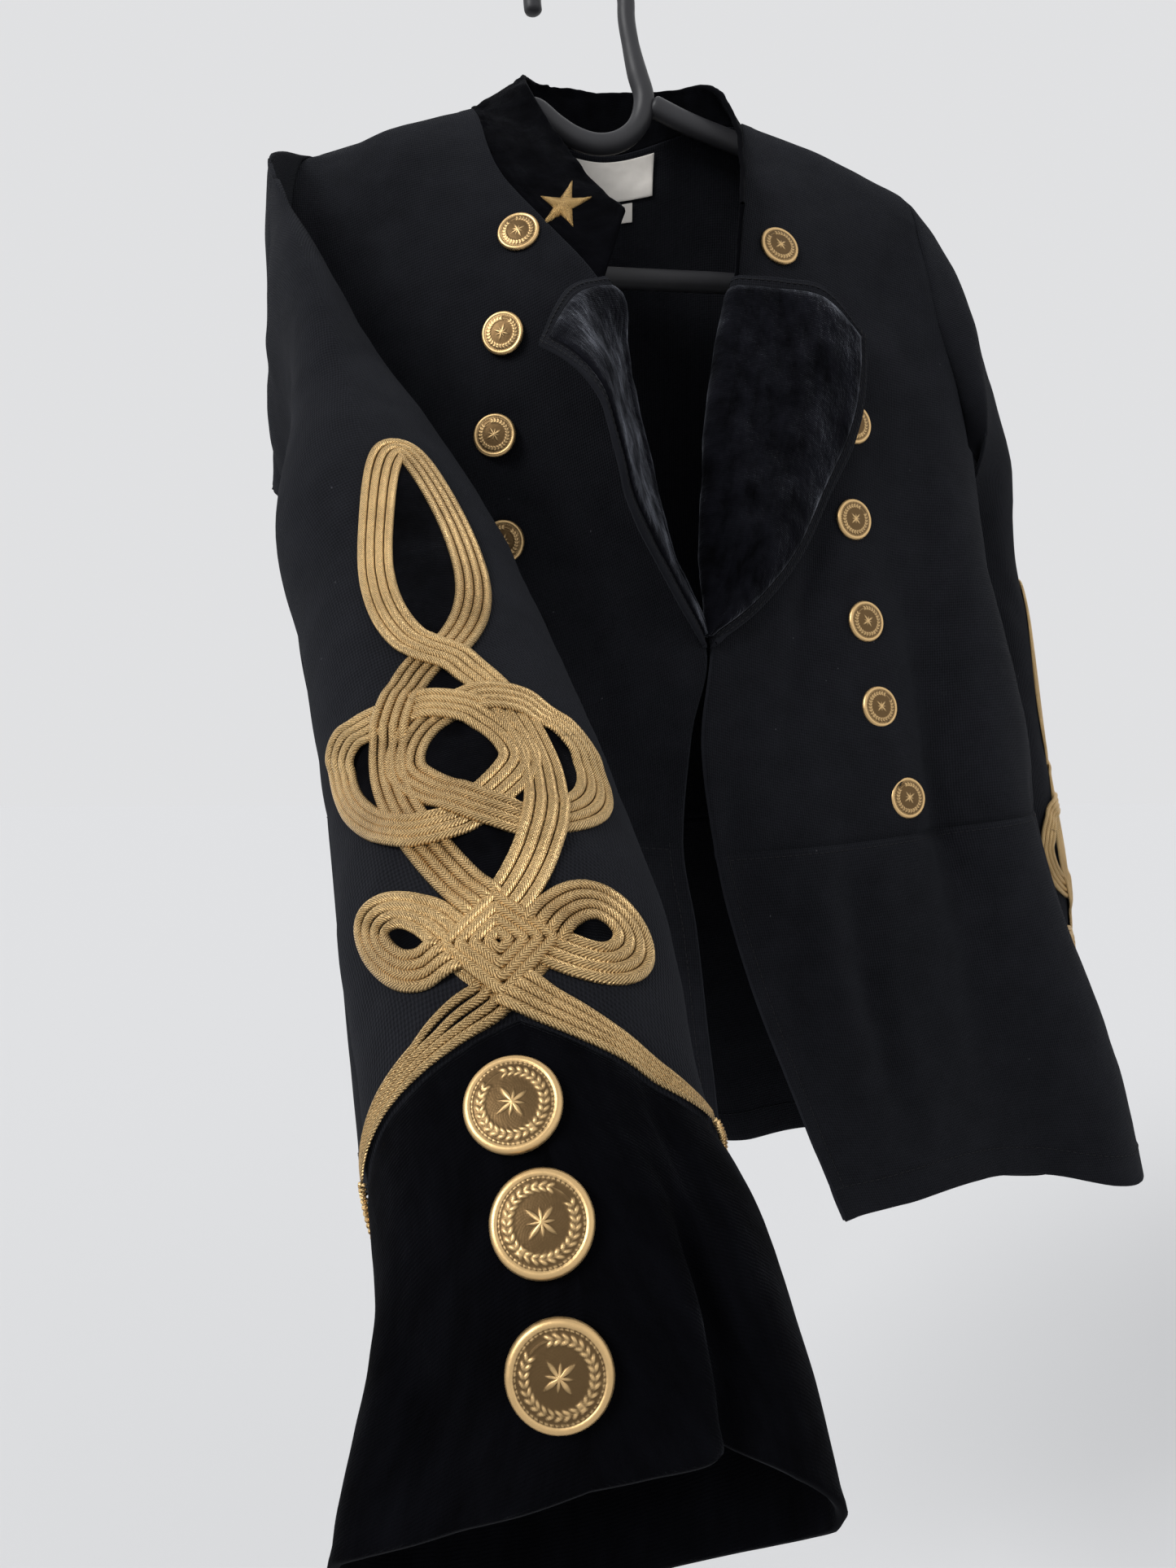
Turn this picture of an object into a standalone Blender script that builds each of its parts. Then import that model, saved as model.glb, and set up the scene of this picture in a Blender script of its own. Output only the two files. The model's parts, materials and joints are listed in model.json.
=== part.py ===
"""A napoleon jacket of black jersey, hanging open on a plain hanger.

Lengths in the tables are millimetres. X runs along the hanger, -Y is the front, +Z is up, and the origin
is the highest point inside the hook. Left and right are the wearer's. The right sleeve is drawn forward and
across, as if led by its cuff, and the left one hangs behind the front.

The cloth is worked out as one welded surface: sections of the body, rings of the sleeves, a stand collar
and two turned-back lapels. Each cut piece is then thickened into a wall of its own, parted from its
neighbours at the seams.
"""
import math
from collections import namedtuple

import bpy
import numpy as np
from mathutils import Vector, geometry

MM = 0.001

# Cloth
JERSEY = 2.0
VELVET = 1.8
FACING = 1.4
SEAM_GAP = 0.4
LAYER_GAP = 0.4
LAPEL_BORDER = 6.0

# How finely the surface is cut
NECKLINE_SPANS = 6
ROLL_SPANS = 4
EDGE_SPANS = 3
SKIRT_SPANS = 7
FRONT_SPANS = 8
NECK_SPANS = 8
COLLAR_SPANS = 3
FLAP_SPANS = 6
SLEEVE_SPANS = 16
CUFF_SPANS = 6

# Sleeve and cuff, along the arm from the shoulder
SLEEVE_LENGTH = 600.0

# Where the shoulder seam meets the collar, across the back
NECK = 0.46

# Trimmings
BUTTON_DIAMETER = 22.2
BUTTON_THICK = 3.4
BUTTON_SIDES = 12
RIGHT_CUFF_BUTTONS = (0.862, 0.899, 0.937)
LEFT_CUFF_BUTTONS = (0.824, 0.884, 0.945)
PIPING_RADIUS = 1.3
STAR_RADIUS = 13.0
STAR_THICK = 1.6
LABEL_THICK = 0.6

# The sleeve knot: bands of braid laid up the arm from the cuff's point
BRAID_WIDTH = 13.0
BRAID_THICK = 1.5
BACKING_THICK = 0.6
LOOP_TOP = 270.0
UPPER_CROSSING = 144.0
LOWER_CROSSING = 38.0
LOOP_HALF_WIDTH = 16.5
RING_RADIUS = 28.0
RING_APART = 22.0
RING_CENTRE = 90.0
OVAL_HALF_WIDTH = 20.5
SQUARE_CENTRE = 21.0
SQUARE_HALF_WIDTH = 15.0
SQUARE_HALF_HEIGHT = 17.5
SIDE_LOOP_CENTRE = 26.0
SIDE_LOOP_WIDE, SIDE_LOOP_HIGH = 10.0, 9.0
LEG_REACH = 52.0
LEG_END_WIDTH = 4.5
KNOT_GRID = 2.0
KNOT_SMOOTHING = 0.35
PLATE_COLUMNS = (-46, -34, -23, -14, -6, 0, 6, 14, 23, 34, 46)
PLATE_ROWS = 22.0

# Hanger
ROD_RADIUS = 6.0
ROD_SIDES = 12
HOOK_RADIUS = 5.0
HOOK_INSIDE = 22.5

# Rows of the body: row 0 is the shoulder seam, ARMPIT the underarm, WAIST the waist seam and HEM the hem.
ARMPIT, WAIST, HEM = 5, 9, 13
NECK_POINT, BREAK = 3, 7

Front = namedtuple(
    "Front", "row edge_x edge_y edge_z chest_x chest_y chest_z side_x side_y side_z round_side")
Back = namedtuple("Back", "row yoke_x yoke_y yoke_z centre_x centre_y centre_z round_right round_left")
Armhole = namedtuple("Armhole", "row x y z")
Ring = namedtuple("Ring", "s x y z wide deep turn")
Edge = namedtuple("Edge", "at x y z")

# The front on the wearer's left: edge is the neckline, then the roll line, then the front edge.
LEFT_FRONT = [
    Front(0, 94, 0, -89, 138, 0, -105, 184, 0, -123, 0),
    Front(1, 91, -20, -103, 139, -22, -119, 190, -20, -140, 0),
    Front(2, 86, -44, -145, 141, -38, -158, 194, -31, -172, 0),
    Front(3, 77, -66, -210, 143, -47, -208, 201, -33, -210, 0),
    Front(4, 69, -71, -256, 146, -50, -253, 219, -19, -243, 4),
    Front(5, 63, -74, -303, 149, -52, -300, 236, 4, -272, 12),
    Front(6, 59, -77, -356, 152, -54, -352, 244, 5, -342, 18),
    Front(7, 61, -79, -405, 154, -57, -402, 258, 5, -398, 20),
    Front(8, 56, -81, -456, 157, -62, -451, 269, 3, -444, 20),
    Front(9, 64, -80, -512, 161, -66, -504, 274, 0, -489, 20),
    Front(10, 74, -80, -553, 170, -68, -550, 288, -1, -543, 22),
    Front(11, 90, -80, -600, 180, -66, -598, 306, -2, -596, 24),
    Front(12, 111, -80, -652, 196, -62, -647, 325, -4, -651, 22),
    Front(13, 132, -80, -703, 218, -56, -692, 336, -6, -706, 20),
]
RIGHT_FRONT = [
    Front(0, -64, 0, -90, -112, 0, -107, -160, 0, -124, 0),
    Front(1, -59, -20, -104, -108, -22, -119, -161, -17, -134, -6),
    Front(2, -46, -46, -150, -103, -38, -157, -158, -34, -166, -7),
    Front(3, 3, -84, -222, -95, -48, -212, -156, -38, -214, -4),
    Front(4, 10, -82, -256, -90, -51, -261, -157, -30, -262, -2),
    Front(5, 19, -79, -296, -84, -53, -307, -162, 0, -306, 2),
    Front(6, 34, -78, -352, -74, -55, -355, -162, 0, -352, 6),
    Front(7, 57, -79, -405, -60, -58, -403, -158, 0, -400, 10),
    Front(8, 50, -76, -450, -54, -62, -450, -149, 0, -446, 12),
    Front(9, 46, -74, -506, -50, -66, -500, -143, 0, -490, 14),
    Front(10, 53, -74, -550, -46, -68, -548, -138, 0, -544, 16),
    Front(11, 59, -73, -600, -42, -68, -598, -133, 0, -596, 18),
    Front(12, 65, -72, -650, -38, -68, -648, -128, 0, -648, 20),
    Front(13, 70, -71, -702, -34, -68, -698, -123, 0, -700, 20),
]
BACK = [
    Back(0, 0, 0, 0, 15, 30, -95, 0, 0),
    Back(1, 0, 17, -16, 15, 33, -112, 0, 0),
    Back(2, 0, 31, -56, 15, 37, -150, 0, 0),
    Back(3, 0, 38, -112, 15, 40, -205, 0, 0),
    Back(4, 0, 41, -160, 16, 42, -255, 3, 0),
    Back(5, 0, 42, -208, 17, 43, -302, 10, -4),
    Back(6, 1, 43, -258, 20, 44, -352, 14, -6),
    Back(7, 2, 42, -306, 24, 43, -400, 16, -6),
    Back(8, 3, 40, -354, 28, 40, -450, 16, -6),
    Back(9, 4, 38, -404, 34, 36, -498, 16, -5),
    Back(10, 6, 41, -454, 42, 40, -546, 18, -3),
    Back(11, 9, 44, -504, 52, 44, -596, 20, -1),
    Back(12, 12, 46, -556, 64, 48, -648, 22, 2),
    Back(13, 15, 48, -606, 78, 50, -698, 24, 4),
]
# The back armholes, from the shoulder tip to the underarm
LEFT_BACK_ARMHOLE = [
    Armhole(0, 184, 0, -123),
    Armhole(1, 189, 19, -140),
    Armhole(2, 192, 33, -172),
    Armhole(3, 198, 36, -210),
    Armhole(4, 214, 25, -243),
    Armhole(5, 236, 4, -272),
]
RIGHT_BACK_ARMHOLE = [
    Armhole(0, -160, 0, -124),
    Armhole(1, -162, 17, -134),
    Armhole(2, -158, 32, -166),
    Armhole(3, -154, 38, -214),
    Armhole(4, -157, 30, -264),
    Armhole(5, -162, 0, -306),
]
# Folds hanging in the cloth: where across the panel, how far each stands out, how wide it is, the row
# where it starts and the row where it is full
Fold = namedtuple("Fold", "at height width top full")
LEFT_FOLDS = [Fold(0.66, -7, 0.06, 4.2, 6.0), Fold(0.30, 7, 0.16, 8.5, 13), Fold(0.60, -6, 0.10, 8.5, 13),
              Fold(0.78, 8, 0.10, 8.5, 13), Fold(0.05, -3, 0.10, 7.2, 9.5)]
RIGHT_FOLDS = [Fold(0.30, 6, 0.18, 9.0, 13), Fold(0.62, -8, 0.14, 9.0, 13)]
BACK_FOLDS = [Fold(0.16, 9, 0.05, 9.0, 13), Fold(0.30, -8, 0.05, 9.0, 13), Fold(0.44, 10, 0.06, 9.0, 13),
              Fold(0.58, -9, 0.05, 9.0, 13), Fold(0.72, 9, 0.06, 9.0, 13), Fold(0.86, -6, 0.05, 9.0, 13)]

# The lapels' top and outer edges, from the neck point to the break
LEFT_LAPEL_TOP = [Edge(0.0, 77, -80, -211), Edge(0.35, 100, -77, -213), Edge(0.7, 124, -72, -216),
                  Edge(1.0, 147, -67, -236)]
LEFT_LAPEL_OUTER = [Edge(0.0, 147, -67, -236), Edge(0.18, 147, -66, -266), Edge(0.35, 141, -66, -292),
                    Edge(0.52, 128, -67, -319), Edge(0.70, 110, -72, -355), Edge(0.86, 86, -78, -384),
                    Edge(1.0, 62, -84, -403)]
RIGHT_LAPEL_TOP = [Edge(0.0, 3, -90, -222), Edge(0.35, -14, -99, -233), Edge(0.7, -24, -113, -251),
                   Edge(1.0, -31, -126, -270)]
RIGHT_LAPEL_OUTER = [Edge(0.0, -31, -126, -270), Edge(0.12, -18, -138, -282), Edge(0.28, -4, -144, -300),
                     Edge(0.42, 2, -143, -319), Edge(0.58, 11, -132, -345), Edge(0.80, 32, -109, -374),
                     Edge(1.0, 56, -84, -404)]
LAPEL_ROLL = 4.0

# The collar's top edge, from its right front end round the back to its left front end
COLLAR_TOP = [Edge(0.0, 15, -84, -184), Edge(0.10, 0, -66, -160), Edge(0.20, -16, -42, -124),
              Edge(0.29, -33, -12, -76), Edge(0.37, -22, 16, -62), Edge(0.50, 17, 27, -58),
              Edge(0.63, 58, 17, -60), Edge(0.71, 76, -6, -70), Edge(0.80, 84, -34, -106),
              Edge(0.90, 82, -58, -146), Edge(1.0, 78, -76, -173)]

# Rings of the sleeves: the middle, half the width across the arm's top, half the depth, and how far the
# ring has turned from the armhole's plane to square across the arm
RIGHT_SLEEVE = [
    Ring(0.00, -160, -2, -216, 42, 92, 0.0),
    Ring(0.06, -169, -36, -233, 25, 81, 0.20),
    Ring(0.11, -156, -62, -257, 22, 72, 0.40),
    Ring(0.16, -138, -88, -280, 20, 63, 0.72),
    Ring(0.26, -115, -123, -327, 31, 55, 1.0),
    Ring(0.36, -102, -162, -367, 43, 48, 1.0),
    Ring(0.47, -85, -202, -410, 45, 42, 1.0),
    Ring(0.65, -62, -280, -486, 46, 39, 1.0),
    Ring(0.76, -52, -331, -527, 46, 37, 1.0),
    Ring(0.86, -46, -376, -567, 42, 33, 1.0),
    Ring(0.92, -39, -396, -594, 46, 28, 1.0),
    Ring(0.96, -37, -403, -616, 51, 25, 1.0),
    Ring(1.00, -37, -408, -641, 56, 24, 1.0),
]
LEFT_SLEEVE = [
    Ring(0.00, 210, 2, -197, 38, 78, 0.0),
    Ring(0.07, 231, 14, -217, 36, 60, 0.08),
    Ring(0.15, 247, 36, -260, 33, 45, 0.30),
    Ring(0.25, 254, 60, -316, 30, 36, 0.70),
    Ring(0.36, 260, 62, -378, 33, 40, 1.0),
    Ring(0.50, 269, 63, -458, 35, 42, 1.0),
    Ring(0.65, 280, 63, -541, 35, 46, 1.0),
    Ring(0.80, 284, 65, -621, 33, 47, 1.0),
    Ring(0.90, 281, 66, -673, 30, 50, 1.0),
    Ring(1.00, 277, 67, -724, 27, 54, 1.0),
]
# The cuffs: where each one starts and ends along the arm, by degrees round it from its top towards its
# front, and the folds that hang in the cloth there
Cuff = namedtuple("Cuff", "angle start hem")
RIGHT_CUFF = [Cuff(-180, 0.886, 1.030), Cuff(-108, 0.880, 1.018), Cuff(-90, 0.862, 1.012),
              Cuff(-54, 0.848, 0.994), Cuff(0, 0.832, 0.970), Cuff(40, 0.858, 0.962), Cuff(56, 0.868, 0.974),
              Cuff(104, 0.884, 1.000), Cuff(180, 0.886, 1.030)]
LEFT_CUFF = [Cuff(-180, 0.845, 1.0), Cuff(-72, 0.840, 1.0), Cuff(0, 0.775, 1.0), Cuff(72, 0.840, 1.0),
             Cuff(180, 0.845, 1.0)]
RIGHT_CUFF_FOLDS = [Fold(26, 3.0, 9.0, 0.84, 0.98), Fold(41, -9.0, 9.0, 0.84, 0.98),
                    Fold(-40, -2.0, 12.0, 0.88, 1.0), Fold(-62, 2.5, 12.0, 0.88, 1.0)]
LEFT_CUFF_FOLDS = [Fold(40, -2.5, 14.0, 0.88, 1.0), Fold(-50, 2.0, 14.0, 0.88, 1.0)]
# Degrees round the arm at which the right sleeve is cut near its cuff, closer together at the fold
RIGHT_CUFF_CUTS = (0, 14, 26, 41, 56, 80, 104, 124, 144, 162, *range(180, 360, 18))
LEFT_CUFF_CUTS = tuple(range(0, 360, 18))
# Which way the arm's top faces and which way its front side lies, at the armhole and along the arm
RIGHT_FACING = ((0.0, 0.0, 1.0), (0.0, -1.0, 0.0), (-0.10, -0.72, 0.68), (0.93, 0.05, 0.30))
LEFT_FACING = ((-0.33, -0.03, 0.94), (0.0, -1.0, 0.0), (0.98, 0.0, 0.17), (0.0, -1.0, 0.0))

RIGHT_ARM = (RIGHT_SLEEVE, RIGHT_FACING, RIGHT_CUFF, RIGHT_CUFF_FOLDS, RIGHT_CUFF_CUTS)
LEFT_ARM = (LEFT_SLEEVE, LEFT_FACING, LEFT_CUFF, LEFT_CUFF_FOLDS, LEFT_CUFF_CUTS)

# How far a knot leans off the arm's top line, by its height, and how much its back half rides up
RIGHT_LEAN, RIGHT_TILT = ((0, -5), (100, -5), (144, -1), (270, 15)), 0.28
LEFT_LEAN, LEFT_TILT = ((0, 0), (270, 0)), 0.0

# The hanger's rods, from the neck out under the shoulders, and round down to the trouser bar
RIGHT_ROD = [(-40, 0, -95), (-52, 0, -101), (-64, 0, -103.5), (-100, 0, -113), (-136, 0, -126.5),
             (-146, 0, -135), (-150, 0, -148), (-148.5, 0, -165)]
LEFT_ROD = [(44.3, 0, -80.2), (62, 0, -88), (94, 0, -99), (130, 0, -112), (160, 0, -124), (170, 0, -132),
            (175, 0, -146), (172, 0, -164), (163, 0, -176), (148, 0, -181), (80, 0, -181), (0, 0, -181),
            (-80, 0, -181), (-132, 0, -181), (-146, 0, -178.5)]

# Where a star sits along the collar's edge
RIGHT_STAR, LEFT_STAR = 1.0, 18.6

# Front buttons: down from the shoulder seam by row, and how far across the front
Button = namedtuple("Button", "row across")
RIGHT_BUTTONS = [Button(2.55, 0.11), Button(3.60, 0.26), Button(4.80, 0.32), Button(5.90, 0.36),
                 Button(6.85, 0.38), Button(7.75, 0.40), Button(8.65, 0.42)]
LEFT_BUTTONS = [Button(2.60, 0.18), Button(3.60, 0.36), Button(4.55, 0.48), Button(5.60, 0.46),
                Button(6.70, 0.48), Button(7.65, 0.50), Button(8.62, 0.54)]

# Colours, roughness, metal
Finish = namedtuple("Finish", "colour roughness metallic")
BLACK_JERSEY = Finish((0.012, 0.012, 0.015, 1), 0.9, 0.0)
BLACK_VELVET = Finish((0.006, 0.006, 0.008, 1), 0.8, 0.0)
GOLD_THREAD = Finish((0.52, 0.36, 0.17, 1), 0.5, 0.6)
BRASS = Finish((0.45, 0.32, 0.16, 1), 0.35, 1.0)
CREAM = Finish((0.65, 0.6, 0.54, 1), 0.8, 0.0)
BLACK_PLASTIC = Finish((0.02, 0.02, 0.022, 1), 0.45, 0.0)


def smooth(knots, values, t):
    """The cubic through values at knots, read at t, with the slopes of its neighbours' chords."""
    knots = np.asarray(knots, float)
    values = np.asarray(values, float)
    slopes = np.gradient(values, knots, axis=0)
    i = int(np.clip(np.searchsorted(knots, t, side="right") - 1, 0, len(knots) - 2))
    span = knots[i + 1] - knots[i]
    s = (t - knots[i]) / span
    rise = values[i + 1] - values[i]
    ease = s * s * (3 - 2 * s)
    return values[i] + rise * ease + span * s * (1 - s) * (slopes[i] * (1 - s) - slopes[i + 1] * s)


def column(table, names, t):
    """The named columns of a table, as a point read at t of the table's first column."""
    return smooth([r[0] for r in table], [[getattr(r, n) for n in names] for r in table], t)


def mix(a, b, t):
    return np.asarray(a) * (1 - t) + np.asarray(b) * t


def unit(v):
    return v / np.linalg.norm(v)


def bump(x, middle, width):
    return math.exp(-((x - middle) / width) ** 2)


def folded(folds, across, down):
    """How far the folds stand out of a surface, each one growing from its top until it is full."""
    out = 0.0
    for fold in folds:
        fall = min(max((down - fold.top) / (fold.full - fold.top), 0.0), 1.0)
        out += fold.height * fall * bump(across, fold.at, fold.width)
    return out


def front_point(front, side, across, row):
    """A point of a front panel: across runs from its edge, 0, to the armhole or side seam, 1."""
    edge = column(front, ("edge_x", "edge_y", "edge_z"), row)
    outer = column(front, ("side_x", "side_y", "side_z"), row)
    if row == 0:
        return mix(edge, outer, across)
    chest = column(front, ("chest_x", "chest_y", "chest_z"), row)
    swing = column(front, ("round_side",), row)[0]
    turn = mix(chest, outer, 0.80) + swing * np.array((0.4 * side, -0.9, 0.0))
    beyond = 2 * outer - turn
    if row > ARMPIT:
        beyond = outer + (outer - turn) * np.array((-1.0, 1.0, 1.0))
    point = smooth((0, 0.5, 0.85, 1, 1.15), (edge, chest, turn, outer, beyond), across)
    point[1] -= (1.0 - across ** 8) * folded(LEFT_FOLDS if side > 0 else RIGHT_FOLDS, across, row)
    return point


def back_point(across, row):
    """A point of the back: across runs from the right armhole, -1, over -NECK and NECK, to 1."""
    side = 1 if across > 0 else -1
    front = LEFT_FRONT if side > 0 else RIGHT_FRONT
    armhole = LEFT_BACK_ARMHOLE if side > 0 else RIGHT_BACK_ARMHOLE
    neck = front[0]
    yoke = column(BACK, ("yoke_x", "yoke_y", "yoke_z"), row)
    yoke = yoke + np.array((neck.edge_x, 0.0, neck.edge_z))
    lean = column(BACK, ("centre_x",), row)[0] - BACK[0].centre_x
    yoke[0] += lean
    centre = column(BACK, ("centre_x", "centre_y", "centre_z"), row)
    if row <= ARMPIT:
        outer = column(armhole, ("x", "y", "z"), row)
    else:
        outer = column(front, ("side_x", "side_y", "side_z"), row)
    out = abs(across)
    if row == 0 and out >= NECK:
        return mix(yoke, outer, (out - NECK) / (1 - NECK))
    name = "round_left" if side > 0 else "round_right"
    swing = column(BACK, (name,), row)[0]
    turn = mix(yoke, outer, 0.72) + swing * np.array((0.4 * side, 0.9, 0.0))
    beyond = 2 * outer - turn
    if row > ARMPIT:
        beyond = outer + (outer - turn) * np.array((-1.0, 1.0, 1.0))
    mirror = mix(centre, yoke, -1.0)
    mirror[1] = yoke[1]
    mirror[2] = yoke[2]
    knots = (-NECK, 0, NECK, NECK + 0.72 * (1 - NECK), 1, 1.2)
    point = smooth(knots, (mirror, centre, yoke, turn, outer, beyond), out)
    point[1] += (1.0 - out ** 8) * folded(BACK_FOLDS, (across + 1) / 2, row)
    return point


def spread(first, last, spans, ease=1.0):
    """Evenly spread values, closer together at the first one where ease is over 1."""
    return [first + (last - first) * (i / spans) ** ease for i in range(spans + 1)]


ARMHOLE_ROWS = spread(0, NECK_POINT, NECKLINE_SPANS, 1.3) + spread(NECK_POINT, ARMPIT, ROLL_SPANS)[1:]
BODICE_ROWS = ARMHOLE_ROWS + spread(ARMPIT, BREAK, ROLL_SPANS)[1:] + spread(BREAK, WAIST, EDGE_SPANS)[1:]
SKIRT_ROWS = spread(WAIST, HEM, SKIRT_SPANS)
ROLL_ROWS = [row for row in BODICE_ROWS if NECK_POINT <= row <= BREAK]
FRONT_COLUMNS = spread(0, 1, FRONT_SPANS)
BACK_COLUMNS = ([-NECK - (1 - NECK) * c for c in reversed(FRONT_COLUMNS)]
                + spread(-NECK, NECK, NECK_SPANS)[1:-1]
                + [NECK + (1 - NECK) * c for c in FRONT_COLUMNS])


def flap_row(front, side, top, outer, along):
    """Points of a turned-back lapel, from its outer edge to the roll line, at a share of the roll."""
    row = NECK_POINT + (BREAK - NECK_POINT) * along
    roll = column(front, ("edge_x", "edge_y", "edge_z"), row)
    if along == 1:
        return [roll] * (FLAP_SPANS + 3)
    start = column(top, ("x", "y", "z"), 0)
    corner = column(top, ("x", "y", "z"), 1)
    finish = column(outer, ("x", "y", "z"), 1)
    shut = 1 - along
    base = roll + np.array((0.0, -2 * LAPEL_ROLL, 0.0)) * min(1, 3 * shut)
    rim = column(outer, ("x", "y", "z"), along)
    points = []
    for i in range(FLAP_SPANS + 1):
        q = 1 - i / FLAP_SPANS
        across = mix(base, rim, q)
        edge = column(top, ("x", "y", "z"), q)
        straight = mix(start, corner, q)
        bow = (edge - straight) * shut ** 2
        crown = np.array((0.0, -5.0, 0.0)) * math.sin(math.pi * q) * min(1, 3 * shut)
        points.append(across + bow + crown)
    turned = roll + np.array((-side * 1.5 * LAPEL_ROLL, -LAPEL_ROLL, 0.0)) * min(1, 3 * shut)
    return points + [turned, roll]


def sleeve_frame(rings, facing, s):
    """The middle of a sleeve at s, and its half depth and half width as vectors."""
    middle = column(rings, ("x", "y", "z"), s)
    wide, deep, turn = column(rings, ("wide", "deep", "turn"), s)
    turn = min(turn, 1.0)
    square = max(turn, 0.0)
    ahead = column(rings, ("x", "y", "z"), min(s + 0.02, 1.0))
    tangent = unit(ahead - column(rings, ("x", "y", "z"), s - 0.02))
    top_start, front_start, top_end, front_end = (np.array(f) for f in facing)
    up = unit(mix(top_start, top_end, turn))
    up = unit(up - np.dot(up, tangent) * tangent * square)
    fore = mix(front_start, front_end, turn)
    fore = fore - np.dot(fore, tangent) * tangent * square
    fore = unit(fore - np.dot(fore, up) * up)
    return middle, up * deep, fore * wide


def cuff_edges(cuff, angle):
    """Where a cuff starts and ends along the arm, at an angle round it from its top."""
    angle = (angle + 180) % 360 - 180
    angles = [c.angle for c in cuff]
    return np.interp(angle, angles, [c.start for c in cuff]), np.interp(angle, angles, [c.hem for c in cuff])


def sleeve_angle(cuts, k, s):
    """Degrees round the arm of the k-th cut: even at the shoulder, as the table says below the elbow."""
    count = len(cuts)
    even = 360 * k / count
    low = np.interp(k, range(count + 1), (*cuts, 360))
    near = min(max((s - 0.5) / 0.3, 0.0), 1.0)
    return even + (low - even) * near * near * (3 - 2 * near)


def arm_point(sleeve, angle, s):
    """A point of a sleeve's own tube, at degrees round it from its top towards its front."""
    rings, facing, _, folds, _ = sleeve
    middle, up, fore = sleeve_frame(rings, facing, s)
    out = up * math.cos(math.radians(angle)) + fore * math.sin(math.radians(angle))
    return middle + out + unit(out) * folded(folds, (angle + 180) % 360 - 180, s)


def sleeve_point(sleeve, armhole, start, k, u):
    """A point of a sleeve: k counts the cuts round it, u runs from the armhole, 0, to the hem, 2."""
    cuff = sleeve[2]
    angle = sleeve_angle(sleeve[4], k, u)
    begin, hem = cuff_edges(cuff, angle)
    level = cuff[0].start
    s = u * level + (begin - level) * u ** 6 if u <= 1 else begin + (hem - begin) * (u - 1)
    hold = max(0.0, 1 - s / 0.14) ** 2
    middle = sleeve_frame(sleeve[0], sleeve[1], s)[0]
    return mix(arm_point(sleeve, angle, s), armhole + (middle - start), hold)


def sleeve_grid(sleeve, armhole):
    """Rings of a sleeve from the armhole's own points to the hem, the cuff's rows included."""
    start = sleeve_frame(sleeve[0], sleeve[1], 0)[0]
    rows = spread(0, 1, SLEEVE_SPANS, 1.15)[1:] + spread(1, 2, CUFF_SPANS)[1:]
    rings = [[sleeve_point(sleeve, p, start, k, u) for k, p in enumerate(armhole)] for u in rows]
    return [list(armhole)] + rings


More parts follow.
